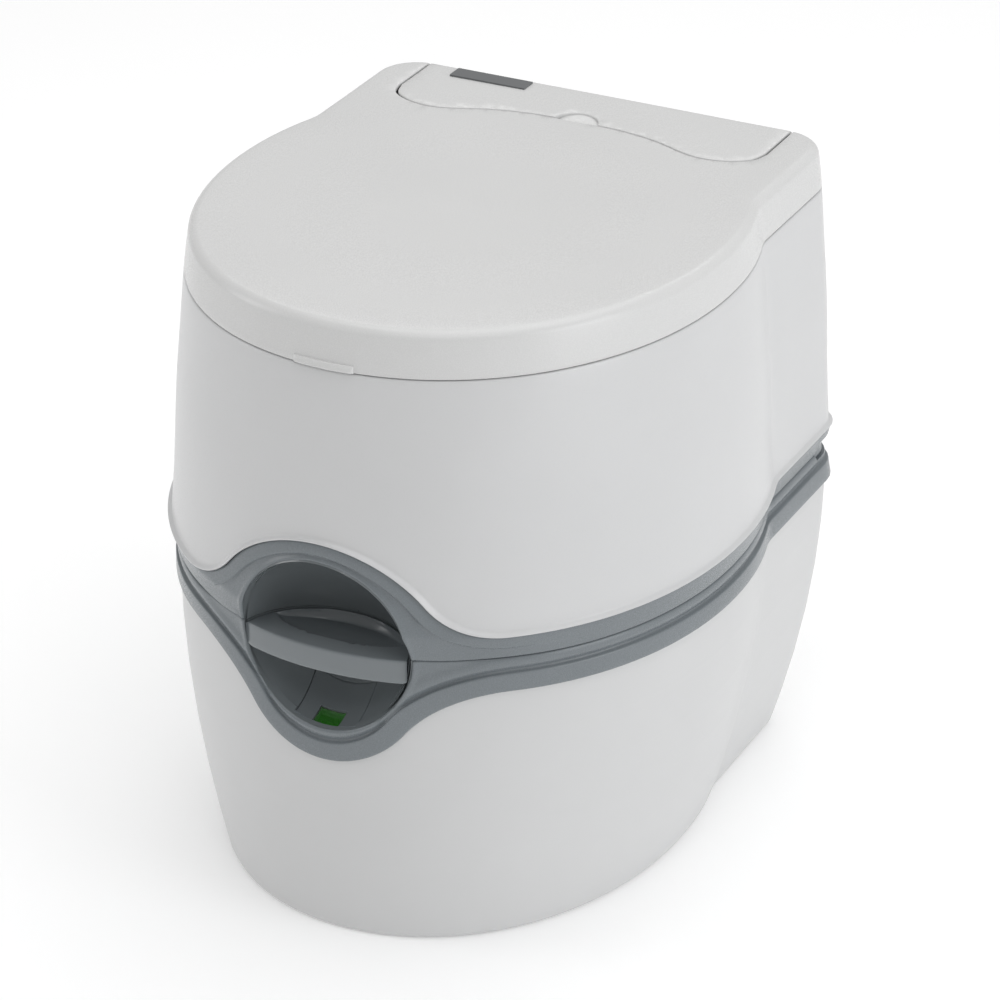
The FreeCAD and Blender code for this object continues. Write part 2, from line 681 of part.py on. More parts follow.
def indicator_flag():
    """Green block on the lever's end, shown in the level window while there is room in the tank."""
    keep(block("indicator_flag", 18.0, 10.0, 9.0, x=-9.5, y="Dimensions.float_axis_y - 29",
               z="Dimensions.float_axis_z - 1"), "indicator_flag")


# ---------------------------------------------------------------------------
# Pour-out spout, its cap and the vent
# ---------------------------------------------------------------------------
SPOUT_END_X = -44.0          # open end of the stowed spout


def pour_spout():
    """Elbow pipe: a stub down into the tank and an arm lying along the bay."""
    x, y, z = dim("spout_x"), dim("spout_y"), dim("spout_z")
    outer, inner = dim("spout_radius"), dim("spout_radius") - 2.4
    pipe = tube_z(x, y, SPOUT_BAY[3] - 8, z, outer)
    pipe = pipe.fuse(rod_x(SPOUT_END_X, x, y, z, outer)).fuse(Part.makeSphere(outer, Vector(x, y, z)))
    bore = tube_z(x, y, SPOUT_BAY[3] - 9, z, inner)
    bore = bore.fuse(rod_x(SPOUT_END_X - 1, x, y, z, inner)).fuse(Part.makeSphere(inner, Vector(x, y, z)))
    feature("pour_spout", pipe.cut(bore))


def spout_cap():
    """Screw cap over the spout's end, with grip ribs."""
    y, z = dim("spout_y"), dim("spout_z")
    radius = dim("spout_cap_radius")
    cap = rod_x(SPOUT_END_X - 18, SPOUT_END_X + 4, y, z, radius - 0.8)
    for i in range(24):
        turn = math.radians(15 * i)
        cap = cap.fuse(rod_x(SPOUT_END_X - 17, SPOUT_END_X + 3, y + (radius - 1.2) * math.cos(turn),
                             z + (radius - 1.2) * math.sin(turn), 1.1))
    cap = cap.cut(rod_x(SPOUT_END_X - 15, SPOUT_END_X + 5, y, z, dim("spout_radius") + 0.08))
    feature("spout_cap", cap)


def spout_cap_seal():
    """Flat ring in the spout's cap."""
    y, z = dim("spout_y"), dim("spout_z")
    ring = rod_x(SPOUT_END_X - 14.9, SPOUT_END_X - 12.9, y, z, dim("spout_radius") - 0.2)
    ring = ring.cut(rod_x(SPOUT_END_X - 16, SPOUT_END_X - 12, y, z, 11.0))
    feature("spout_cap_seal", ring)


def vent_button():
    """Push button with its stem through the tank's rear wall."""
    x, z = dim("vent_x"), dim("vent_z")
    button = rod_y(x, 219.0, 221.4, z, 8.0).fuse(rod_y(x, 207.6, 219.2, z, 3.0))
    feature("vent_button", button)


def vent_valve():
    """Disc on the stem's inner end that closes the vent hole."""
    x, z = dim("vent_x"), dim("vent_z")
    feature("vent_valve", rod_y(x, 208.6, 210.9, z, 6.6).cut(rod_y(x, 208.0, 212.0, z, 3.02)))


def coil(height, turns, radius, wire):
    """Compression spring of round wire standing on the origin."""
    rise = height - 2 * wire
    helix = Part.makeHelix(rise / turns, rise, radius)
    profile = Part.Wire(Part.makeCircle(wire, Vector(radius, 0, 0), Vector(0, 1, 0)))
    sweep = Part.Wire(helix.Edges).makePipeShell([profile], True, True)
    sweep.Placement = FreeCAD.Placement(Vector(0, 0, wire), FreeCAD.Rotation())
    return sweep


def vent_spring():
    """Conical return spring between the vent button and the tank's wall."""
    x, z = dim("vent_x"), dim("vent_z")
    wall_y, button_y = 216.8, 218.9
    shape = None
    for shrink in (0.0, 0.4):
        cone = Part.makeCone(7.0 - shrink, 4.2 - shrink, button_y - wall_y, Vector(x, wall_y, z),
                             Vector(0, 1, 0))
        shape = cone if shape is None else shape.cut(cone)
    feature("vent_spring", shape)


# ---------------------------------------------------------------------------
# Upper section: shell, trim, recess, bowl, deck and base
# ---------------------------------------------------------------------------
TRIM_SET_IN = 0.8            # the upper trim stands back from the white shell by this much
SHELL_FLOOR_Z = 226.0


def upper_shell():
    """White outer shell, open at the top, its lower edge arched over the handle recess."""
    wall = dim("wall")
    split = dim("split_z")
    top = dim("shell_top_z")
    low = dim("shell_edge_z")
    plan_low = plan_at(low)[:3] + (SHELL_REAR,)
    plan_top = plan_at(dim("seam_z"))
    outer = skin([(low, plan_low, 0.0), (top, plan_top, 0.0)])
    inner = skin([(low - 1, plan_low, wall), (top + 1, plan_top, wall)])
    body = outer.cut(inner).cut(upper_wave(0.0, split - 10))
    feature("upper_shell", body)


def upper_trim():
    """Grey band under the white shell, arched over the recess."""
    split = dim("split_z")
    low = split + dim("split_gap")
    edge = dim("shell_edge_z")
    outer = skin([(low, plan_at(low), 0.0), (edge, plan_at(edge), 0.0)]
                 + [(300.0, plan_at(300.0), TRIM_SET_IN)])
    inner = skin([(low - 1, plan_at(low), dim("wall") + 0.2), (edge, plan_at(edge), dim("wall") + 0.4),
                  (301.0, plan_at(301.0), dim("wall") + 0.4)])
    body = outer.cut(inner).cut(upper_wave(0.25, 320.0))
    body = body.cut(rod_y(0, -260, -150, split, dim("eye_radius")))
    half = dim("latch_half")
    housing = box(-half - 4, half + 4, 211.0, 218.2, low, edge - 0.3)
    body = body.fuse(housing)
    body = body.cut(box(-half - 0.4, half + 0.4, 215.8, 230, low - 1, dim("latch_axis_z") + 4))
    body = body.cut(rod_x(-half - 3, half + 3, dim("latch_axis_y"), dim("latch_axis_z"), 1.2))
    feature("upper_trim", body)


def upper_recess():
    """Upper half of the round recess: a dark pocket for the fingers above the handle."""
    low = dim("split_z") + dim("split_gap")
    shell = dish(dim("dish_wall")).cut(dish(0.0)).common(box(-80, 80, -240, -120, low, 300))
    behind = skin([(low, plan_at(low), dim("wall") + 0.4), (dim("shell_edge_z"), plan_at(dim("shell_edge_z")),
                   dim("wall") + 0.6), (301.0, plan_at(301.0), dim("wall") + 0.6)])
    feature("upper_recess", shell.common(behind))


def base_plate():
    """Floor of the flush-water section, with the bowl's outlet and the recess cut out."""
    low = dim("split_z") + 1.0
    plan = plan_at(low)
    plate = skin([(low, plan, 3.6), (SHELL_FLOOR_Z, plan, 3.6)])
    plate = plate.cut(dish(dim("dish_wall") + 0.2))
    plate = plate.cut(tube_z(0, dim("outlet_y"), low - 1, SHELL_FLOOR_Z + 1, dim("outlet_radius") + 1.2))
    half = dim("latch_half")
    plate = plate.cut(box(-half - 4.3, half + 4.3, 210.5, 230, low - 1, SHELL_FLOOR_Z + 1))
    feature("base_plate", plate)


BOWL_TOP = (112.0, 132.0, -30.0)       # half width, half length and centre of the bowl's mouth
BOWL_WALL = 2.8
BOWL_HEIGHTS = [234.0, 245.0, 262.0, 290.0, 325.0, 365.0]
NOZZLE_Z = 384.0                       # height of the spray nozzle and its hose


def bowl_section(z, grow):
    """Oval section of the bowl at height z."""
    low_z, high_z = BOWL_HEIGHTS[0], dim("deck_z")
    share = (z - low_z) / (high_z - low_z)
    ease = share ** 0.62
    radius = dim("outlet_radius") - 1.8
    half = radius + ease * (BOWL_TOP[0] - radius) + grow
    length = radius + ease * (BOWL_TOP[1] - radius) + grow
    centre = dim("outlet_y") + share * (BOWL_TOP[2] - dim("outlet_y"))
    ellipse = Part.Ellipse(Vector(0, centre + length, z), Vector(half, centre, z), Vector(0, centre, z))
    return Part.Wire(ellipse.toShape())


def bowl():
    """Toilet bowl: oval mouth with a rim on the deck, narrowing to the round outlet."""
    wall = BOWL_WALL
    heights = BOWL_HEIGHTS + [dim("deck_z")]
    outer = Part.makeLoft([bowl_section(z, wall) for z in heights], True, False)
    inner = Part.makeLoft([bowl_section(z, 0.0) for z in heights], True, False)
    radius = dim("outlet_radius") - 1.8
    y = dim("outlet_y")
    outer = outer.fuse(tube_z(0, y, 219.4, BOWL_HEIGHTS[0], radius + wall))
    inner = inner.fuse(tube_z(0, y, 219.0, BOWL_HEIGHTS[0], radius))
    top = dim("deck_z") + dim("deck_thick")
    mouth_out = bowl_section(dim("deck_z"), wall)
    mouth_in = bowl_section(dim("deck_z"), 0.0)
    rim = bowl_section(dim("deck_z"), wall + 8)
    collar = Part.Face(mouth_out).extrude(Vector(0, 0, 5.2))
    flange = Part.Face(rim).extrude(Vector(0, 0, 2.0))
    flange.translate(Vector(0, 0, top + 0.1 - dim("deck_z")))
    well = Part.Face(mouth_in).extrude(Vector(0, 0, 10))
    shape = outer.fuse(collar).fuse(flange).cut(inner).cut(well)
    shape = shape.cut(rod_y(0, 60, 130, NOZZLE_Z, 7.2))
    feature("bowl", shape)


def upper_deck():
    """Deck round the bowl, with the hinge ears of the lid, the rear cover and the seat."""
    low = dim("deck_z")
    top = low + dim("deck_thick")
    plan = plan_at(low)[:3] + (SHELL_REAR,)
    deck = skin([(low, plan, 3.7), (top, plan, 3.7)])
    deck = deck.cut(Part.Face(bowl_section(low, 2.9)).extrude(Vector(0, 0, 10)))
    service = dim("service_y")
    deck = deck.cut(tube_z(dim("fill_x"), service, low - 1, top + 1, 19.2))
    deck = deck.cut(tube_z(dim("pump_x"), service, low - 1, top + 1, dim("pump_bore") + 2.3))
    axis_y, axis_z = dim("lid_axis_y"), dim("lid_axis_z")
    for side in (-1, 1):
        x0, x1 = sorted((side * 139.6, side * 143.2))
        ear = rod_x(x0, x1, axis_y, axis_z, 4.6).fuse(box(x0, x1, axis_y - 4.6, axis_y + 0.8, top, axis_z))
        deck = deck.fuse(ear.cut(rod_x(x0 - 1, x1 + 1, axis_y, axis_z, dim("hinge_pin_radius"))))
        for x in (53.0, 80.6):
            x0, x1 = sorted((side * x, side * (x + 5.4)))
            y, z = dim("seat_axis_y"), dim("seat_axis_z")
            ear = rod_x(x0, x1, y, z, 5.6).fuse(box(x0, x1, y - 5.6, y + 5.6, top, z))
            deck = deck.fuse(ear.cut(rod_x(x0 - 1, x1 + 1, y, z, dim("seat_pin_radius"))))
    feature("upper_deck", deck)


def outlet_seal():
    """Ring seal between the bowl's outlet and the guide plate of the blade."""
    disc("outlet_seal", 0, "Dimensions.outlet_y", 216.25, "Dimensions.outlet_radius + 4.5", 3.1,
         "Dimensions.outlet_radius - 1.8")


LID_PIN_ENDS = (119.0, 149.4)          # x, from the rear cover's knuckle into the lid's


def lid_hinge_pins():
    """One pin each side, through the ear, into the lid and the rear cover."""
    pins = []
    inner, outer = LID_PIN_ENDS
    for i, x in enumerate((-outer, inner)):
        pins.append(cylinder("lid_pin_%d" % i, "Dimensions.hinge_pin_radius", outer - inner, x=x,
                             y="Dimensions.lid_axis_y", z="Dimensions.lid_axis_z", axis=(0, 1, 0), angle=90))
    group("lid_hinge_pins", pins)


def seat_hinge_pins():
    """Pins of the seat's two hinges."""
    pins = []
    for i, x in enumerate((-86.5, 52.5)):
        pins.append(cylinder("seat_pin_%d" % i, "Dimensions.seat_pin_radius", 34.0, x=x,
                             y="Dimensions.seat_axis_y", z="Dimensions.seat_axis_z", axis=(0, 1, 0), angle=90))
    group("seat_hinge_pins", pins)


def fill_neck():
    """Threaded-in neck of the flush-water filler."""
    turned("fill_neck", "Dimensions.fill_x", "Dimensions.service_y", "Dimensions.deck_z",
           [(16.0, -14.0), (19.0, -14.0), (19.0, 3.1), (24.5, 3.1), (24.5, 5.0), (20.0, 5.0),
            (20.0, 13.0), (16.0, 13.0)])


def fill_cap():
    """Quarter-turn cap of the filler, with a finger bar across its top."""
    x, y, base = dim("fill_x"), dim("service_y"), dim("deck_z")
    radius = dim("fill_cap_radius")
    cap = tube_z(x, y, base + 5.4, base + 18.0, radius - 0.8)
    for i in range(20):
        turn = math.radians(18 * i)
        cap = cap.fuse(tube_z(x + (radius - 1.4) * math.cos(turn), y + (radius - 1.4) * math.sin(turn),
                              base + 6.0, base + 17.0, 1.3))
    cap = cap.cut(tube_z(x, y, base + 5.0, base + 15.6, 20.1))
    cap = cap.fuse(box(x - 18, x + 18, y - 3, y + 3, base + 17.5, base + 25.0))
    feature("fill_cap", cap)


def fill_cap_seal():
    """Flat seal under the filler cap."""
    disc("fill_cap_seal", "Dimensions.fill_x", "Dimensions.service_y", "Dimensions.deck_z + 13.1",
         19.6, 2.4, 14.0)


PUMP_FLOOR_Z = 250.0


def pump_cylinder():
    """Piston pump's cylinder hanging in the flush water, with its flange on the deck."""
    x, y, base = dim("pump_x"), dim("service_y"), dim("deck_z")
    bore = dim("pump_bore")
    pump = tube_z(x, y, PUMP_FLOOR_Z, base + 3.1, bore + 2.0)
    pump = pump.fuse(tube_z(x, y, base + 3.1, base + 5.0, bore + 8.0))
    pump = pump.cut(tube_z(x, y, PUMP_FLOOR_Z + 3, base + 1.0, bore))
    pump = pump.cut(tube_z(x, y, base, base + 6, 6.0))
    pump = pump.cut(tube_z(x, y, PUMP_FLOOR_Z - 1, PUMP_FLOOR_Z + 4, 5.0))
    outlet = rod_y(x, y - bore - 9, y - bore + 0.5, PUMP_FLOOR_Z + 10, 5.0)
    pump = pump.fuse(outlet).cut(rod_y(x, y - bore - 10, y - bore + 1, PUMP_FLOOR_Z + 10, 3.4))
    feature("pump_cylinder", pump)


def foot_valve():
    """Intake valve under the pump's cylinder."""
    turned("foot_valve", "Dimensions.pump_x", "Dimensions.service_y", PUMP_FLOOR_Z,
           [(0.0, -6.0), (9.0, -6.0), (9.0, -0.1), (4.9, -0.1), (4.9, 2.6), (0.0, 2.6)])


def pump_hose():
    """Hose from the pump to the bowl's spray nozzle: straight runs joined by an arc."""
    x, y = dim("pump_x"), dim("service_y") - dim("pump_bore") - 4.0
    z = PUMP_FLOOR_Z + 10
    turn = 22.0
    run_a = [Vector(x, y, z), Vector(x, y - 12, z)]
    bend = Part.Arc(run_a[1], Vector(x, y - 12 - turn * math.sqrt(0.5), z + turn * (1 - math.sqrt(0.5))),
                    Vector(x, y - 12 - turn, z + turn))
    run_b = [Vector(x, y - 12 - turn, z + turn), Vector(x, y - 12 - turn, NOZZLE_Z - turn)]
    top = Part.Arc(run_b[1], Vector(x - turn * (1 - math.sqrt(0.5)), y - 12 - turn, NOZZLE_Z - turn
                                    + turn * math.sqrt(0.5)), Vector(x - turn, y - 12 - turn, NOZZLE_Z))
    run_c = [Vector(x - turn, y - 12 - turn, NOZZLE_Z), Vector(12.0, y - 12 - turn, NOZZLE_Z)]
    path = Part.Wire([Part.makeLine(*run_a), bend.toShape(), Part.makeLine(*run_b), top.toShape(),
                      Part.makeLine(*run_c)])
    profile = Part.Wire(Part.makeCircle(6.6, run_a[0], Vector(0, 1, 0)))
    core = Part.Wire(Part.makeCircle(5.1, run_a[0], Vector(0, 1, 0)))
    hose = path.makePipeShell([profile], True, False).cut(path.makePipeShell([core], True, False))
    feature("pump_hose", hose)
    return y - 12 - turn


def flush_nozzle(hose_y):
    """Spray nozzle through the bowl's rear wall, fed by the hose."""
    z = NOZZLE_Z
    body = rod_x(-7.0, 16.0, hose_y, z, 4.9).fuse(box(-9, 9, hose_y - 7, hose_y + 7, z - 6.5, z + 6.5))
    body = body.cut(box(11.8, 20, hose_y - 20, hose_y + 20, z - 20, z + 20))
    body = body.fuse(rod_x(8.0, 18.0, hose_y, z, 4.9)).fuse(rod_y(0, 78, hose_y, z, 6.0))
    body = body.cut(rod_x(-3.0, 20.0, hose_y, z, 3.2)).cut(rod_y(0, 77, hose_y, z, 3.2))
    feature("flush_nozzle", body)


def latch_pin():
    """Pin of the rear latch."""
    keep(cylinder("latch_pin", 1.2, "2 * Dimensions.latch_half + 5.8", x="-Dimensions.latch_half - 2.9",
                  y="Dimensions.latch_axis_y", z="Dimensions.latch_axis_z", axis=(0, 1, 0), angle=90),
         "latch_pin")


def latch_lever():
    """Rear latch: a flap hinged at its top, with a finger hollow near its foot."""
    half = dim("latch_half")
    y, z = dim("latch_axis_y"), dim("latch_axis_z")
    foot = dim("split_z") + 1.2
    flap = rod_x(-half, half, y, z, 2.2).fuse(box(-half, half, y - 2.2, y + 2.2, foot, z))
    flap = flap.cut(rod_x(-half - 1, half + 1, y, z, 1.2 + dim("running_gap")))
    flap = flap.cut(box(-12, 12, y + 1.0, y + 5, foot - 1, foot + 3.5))
    feature("latch_lever", flap)


# ---------------------------------------------------------------------------
# Lid, seat and rear cover
# ---------------------------------------------------------------------------
LID_EDGE_ROUND = 9.0
NOTCH_Y = 157.4              # centre of the finger notch in the rear cover's front edge
NOTCH_RADIUS = 16.0
BADGE = (-114.0, -56.0, 194.0, 208.0)                # x0, x1, y0, y1 of the blank plate
TAB_HALF = 21.0              # half width of the lid's finger tab
TAB_PROUD = 2.4              # the tab stands this far out of the lid
COVER_REACH = 230.0          # the rear cover's outline ends behind the shell


def cover_outline(z, grow):
    """Plan wire of the rear cover: straight sides, a lobe at each front corner, and a set-back middle."""
    half = dim("cover_half")
    side = [(half + grow, 172.0), (half + grow, 166.0 - grow * 0.4), (133.0 + grow * 0.8, 153.0 - grow * 0.8),
            (122.0 + grow * 0.4, 144.2 - grow), (109.0, 140.2 - grow), (97.0, 140.0 - grow),
            (85.0, 143.4 - grow), (72.0, 149.0 - grow), (58.0, 153.9 - grow), (42.0, 157.2 - grow),
            (22.0, 159.3 - grow)]
    right = [Vector(x, y, z) for x, y in side]
    left = [Vector(-v.x, v.y, z) for v in right]
    curve = Part.BSplineCurve()
    curve.interpolate(right[1:] + left[:0:-1])
    front = curve.toShape()
    edges = [front, Part.makeLine(left[1], Vector(left[0].x, COVER_REACH, z)),
             Part.makeLine(Vector(left[0].x, COVER_REACH, z), Vector(right[0].x, COVER_REACH, z)),
             Part.makeLine(Vector(right[0].x, COVER_REACH, z), right[1])]
    return Part.Wire(edges)


def cover_prism(grow):
    """Upright prism over the rear cover's outline."""
    face = Part.Face(cover_outline(dim("shell_top_z") - 4, grow))
    return face.extrude(Vector(0, 0, 60))


def cap_envelope(inset, rounding, bottom):
    """Outer form of the closed lid and rear cover, with its top edge rounded."""
    top = dim("lid_top_z")
    seam = dim("seam_z")
    edge = LID_EDGE_ROUND
    levels = [(bottom, plan_at(seam), inset), (seam, plan_at(seam), inset)]
    if bottom >= seam:
        levels = levels[:1]
    flat = top - inset
    reach = max(edge - inset, 1.0) if rounding else 0.0
    if not rounding:
        return skin(levels + [(flat, plan_at(flat), inset)])
    for angle in (0.0, 25.0, 50.0, 70.0, 90.0):
        turn = math.radians(angle)
        z = flat - reach * (1 - math.sin(turn))
        levels.append((z, plan_at(z), inset + reach * (1 - math.cos(turn))))
    return skin(levels)


def hinge_clearance():
    """Everything below and behind the hinge line's knuckle radius, removed from the covers' rear walls."""
    y, z = dim("lid_axis_y"), dim("lid_axis_z")
    low = box(-200, 200, y, y + 12, z - 12, z)
    return low.cut(rod_x(-200, 200, y, z, dim("knuckle_radius")))


def cover_shell(bottom):
    """Hollow shell shared by the lid and the rear cover."""
    wall = dim("wall")
    return cap_envelope(0.0, True, bottom).cut(cap_envelope(wall, True, bottom - 1))


def knuckle(x0, x1):
    """Hinge knuckle on the lid's hinge line, bored for the pin."""
    y, z = dim("lid_axis_y"), dim("lid_axis_z")
    web = box(x0, x1, y - 2, y + dim("knuckle_radius"), z, z + 12)
    return rod_x(x0, x1, y, z, dim("knuckle_radius")).fuse(web)


def pin_bore(x0, x1):
    """Bore of the hinge line."""
    return rod_x(x0, x1, dim("lid_axis_y"), dim("lid_axis_z"), dim("hinge_pin_radius") + dim("running_gap"))


def lid():
    """White lid: shallow dome over the seat with two wings that reach back beside the rear cover."""
    body = cover_shell(dim("seam_z"))
    body = body.cut(cover_prism(dim("cover_gap")))
    for side in (-1, 1):
        x0, x1 = sorted((side * 144.0, side * 160.5))
        body = body.fuse(knuckle(x0, x1).common(cap_envelope(0.0, True, dim("seam_z") - 2)))
    body = body.cut(hinge_clearance())
    for side in (-1, 1):
        x0, x1 = sorted((side * 138.0, side * 144.0))
        body = body.cut(box(x0, x1, 205.0, 230.0, 405.0, dim("lid_axis_z") + 6))
        x0, x1 = sorted((side * 118.0, side * 160.6))
        body = body.cut(pin_bore(x0, x1))
    body = body.cut(lid_tab_block(0.15))
    feature("lid", body)


def lid_tab_block(grow):
    """Volume of the finger tab at the middle of the lid's front edge."""
    seam = dim("seam_z")
    out = TAB_PROUD + grow
    band = skin([(seam - 0.6, plan_at(seam), -out), (seam + 5.0 + grow, plan_at(seam), -out)])
    band = band.cut(skin([(seam - 2, plan_at(seam), 1.6 + grow), (seam + 7, plan_at(seam), 1.6 + grow)]))
    return band.common(box(-TAB_HALF - grow, TAB_HALF + grow, -260, -150, seam - 1, seam + 10))


def lid_tab():
    """Finger tab at the middle of the lid's front edge."""
    feature("lid_tab", lid_tab_block(0.0))


LID_BUMPER_SPOTS = [(-90.0, -120.0), (90.0, -120.0), (-118.0, 40.0), (118.0, 40.0)]
SEAT_BUMPER_SPOTS = [(-110.0, -120.0), (110.0, -120.0), (-134.0, 40.0), (134.0, 40.0)]
SEAT_PLAN = (160.0, 190.0, 108.0)      # half width, length of the round front, rear edge
SEAT_MOUTH = (99.0, 124.0, -36.0)      # half width, half length and centre of the opening
SEAT_HEIGHTS = (411.0, 430.0)


def lid_bumpers():
    """Four rubber pads under the lid that rest on the seat."""
    pads = []
    for i, (x, y) in enumerate(LID_BUMPER_SPOTS):
        pads.append(cylinder("lid_bumper_%d" % i, 6.0, 12.3, x=x, y=y, z="Dimensions.lid_top_z - 15.4"))
    group("lid_bumpers", pads)


def seat():
    """Seat ring with its two hinge knuckles at the rear."""
    low, top = SEAT_HEIGHTS
    rise = top - low
    levels = []
    sections = [(low, 0.0), (low + 0.55 * rise, 0.0), (low + 0.8 * rise, 2.2),
                (low + 0.95 * rise, 6.5), (top, 12.0)]
    for z, inset in sections:
        levels.append(seat_outline(z, *(size - inset for size in SEAT_PLAN)))
    ring = Part.makeLoft(levels, True, True)
    mouth = []
    mouth_half, mouth_length, centre = SEAT_MOUTH
    for z, grow in [(low - 1, 0.0), (low + 0.6 * rise, 0.0), (low + 0.85 * rise, 3.0), (top + 1, 9.0)]:
        ellipse = Part.Ellipse(Vector(0, centre + mouth_length + grow, z), Vector(mouth_half + grow, centre, z),
                               Vector(0, centre, z))
        mouth.append(Part.Wire(ellipse.toShape()))
    ring = ring.cut(Part.makeLoft(mouth, True, True))
    y, z = dim("seat_axis_y"), dim("seat_axis_z")
    for side in (-1, 1):
        x0, x1 = sorted((side * 58.8, side * 80.2))
        arm = rod_x(x0, x1, y, z, dim("seat_knuckle")).fuse(box(x0, x1, y - 16, y, z - 4, z + 6))
        ring = ring.fuse(arm).cut(rod_x(x0 - 1, x1 + 1, y, z, dim("seat_pin_radius") + dim("running_gap")))
    feature("seat", ring)


def seat_outline(z, half, length, rear):
    """Seat's plan: an oval whose rear is cut off straight."""
    centre = dim("plan_centre_y") - 3.0
    share = (rear - centre) / length
    start = math.asin(share)
    points = []
    count = 25
    for i in range(count):
        angle = start - (math.pi + 2 * start) * i / (count - 1)
        points.append(Vector(half * math.cos(angle), centre + length * math.sin(angle), z))
    curve = Part.BSplineCurve()
    curve.interpolate(points)
    return Part.Wire([curve.toShape(), Part.makeLine(points[-1], points[0])])


def seat_bumpers():
    """Four pads under the seat that rest on the deck."""
    pads = []
    for i, (x, y) in enumerate(SEAT_BUMPER_SPOTS):
        pads.append(cylinder("seat_bumper_%d" % i, 6.0, 4.7, x=x, y=y, z="Dimensions.deck_z + 3.25"))
    group("seat_bumpers", pads)


def rear_cover():
    """Service cover over the filler and the pump, with a finger notch in its front edge."""
    body = cover_shell(dim("seam_z"))
    body = body.common(cover_prism(0.0))
    for side in (-1, 1):
        x0, x1 = sorted((side * 118.6, side * 136.6))
        body = body.fuse(knuckle(x0, x1).common(cap_envelope(0.0, True, dim("seam_z") - 2)))
    body = body.cut(hinge_clearance())
    for side in (-1, 1):
        x0, x1 = sorted((side * 118.0, side * 138.0))
        body = body.cut(pin_bore(x0, x1))
    notch = tube_z(0, NOTCH_Y, 430, 450, NOTCH_RADIUS)
    body = body.cut(notch)
    top = dim("lid_top_z")
    body = body.cut(box(*BADGE[:4], top - 1.0, top + 1))
    feature("rear_cover", body)



def badge_plate():
    """Blank plate let into the rear cover's top."""
    keep(block("badge_plate", BADGE[1] - BADGE[0] - 0.2, BADGE[3] - BADGE[2] - 0.2, 1.2, x=BADGE[0] + 0.1,
               y=BADGE[2] + 0.1, z="Dimensions.lid_top_z - 0.95"), "badge_plate")


# ---------------------------------------------------------------------------
# Flush pump's moving parts
# ---------------------------------------------------------------------------
def pump_knob():
    """Push knob of the flush pump."""
    turned("pump_knob", "Dimensions.pump_x", "Dimensions.service_y", "Dimensions.deck_z",
           [(0.0, 33.5), (4.0, 33.5), (4.0, 36.0), (17.5, 36.0), (17.5, 33.5), (20.0, 33.5), (20.0, 37.0),
            (18.0, 39.0), (0.0, 39.0)])


def pump_rod():
    """Rod from the knob down to the piston."""
    keep(cylinder("pump_rod", 3.9, 92.4, x="Dimensions.pump_x", y="Dimensions.service_y",
                  z="Dimensions.deck_z - 59"), "pump_rod")


def pump_piston():
    """Piston with a groove for its seal."""
    turned("pump_piston", "Dimensions.pump_x", "Dimensions.service_y", "Dimensions.deck_z - 71",
           [(0.0, 0.0), (14.4, 0.0), (14.4, 4.0), (12.4, 4.0), (12.4, 8.0), (14.4, 8.0), (14.4, 12.0),
            (0.0, 12.0)])


def piston_seal():
    """Ring seal of the piston."""
    disc("piston_seal", "Dimensions.pump_x", "Dimensions.service_y", "Dimensions.deck_z - 66.9",
         "Dimensions.pump_bore - 0.05", 3.8, 12.45)


def pump_spring():
    """Return spring under the knob."""
    spring = coil(28.1, 6, 9.0, 0.9)
    spring.translate(Vector(dim("pump_x"), dim("service_y"), dim("deck_z") + 5.2))
    feature("pump_spring", spring)


# ---------------------------------------------------------------------------
# Build, check and write
# ---------------------------------------------------------------------------
def build():
    """Make every sub-part."""
    for make in (waste_tank, lower_trim, lower_recess, indicator_panel, indicator_window, valve_frame,
                 valve_frame_screws, valve_lip_seal, float_bracket, float_pivot_pin, spout_seal, vent_seal,
                 valve_blade, valve_handle, handle_screws, float_arm, float_ball, indicator_flag,
                 pour_spout, spout_cap, spout_cap_seal, vent_button, vent_valve, vent_spring,
                 upper_shell, upper_trim, upper_recess, base_plate, bowl, upper_deck, outlet_seal,
                 lid_hinge_pins, seat_hinge_pins, fill_neck, fill_cap, fill_cap_seal, pump_cylinder,
                 foot_valve, latch_pin, latch_lever, lid, lid_tab, lid_bumpers, seat, seat_bumpers,
                 rear_cover, badge_plate, pump_knob, pump_rod, pump_piston, piston_seal, pump_spring):
        make()
    flush_nozzle(pump_hose())
    DOC.recompute()


def check():
    """Stop if any object failed or any sub-part has no sound shape."""
    for obj in DOC.Objects:
        if "Invalid" in obj.State or "Error" in obj.State:
            raise RuntimeError("failed object " + obj.Label)
    for label, obj in PARTS.items():
        shape = obj.Shape
        if shape.isNull() or not shape.isValid() or not shape.Solids:
            raise RuntimeError("unsound shape " + label)
        if min(solid.Volume for solid in shape.Solids) <= 0:
            raise RuntimeError("inside-out solid " + label)


def write():
    """One STEP file per sub-part."""
    os.makedirs("parts", exist_ok=True)
    for label, obj in PARTS.items():
        obj.Shape.exportStep("parts/" + label + ".step")


build()
check()
write()
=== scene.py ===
import json
import math

import bmesh
import bpy
from mathutils import Matrix, Vector
from mathutils.geometry import delaunay_2d_cdt


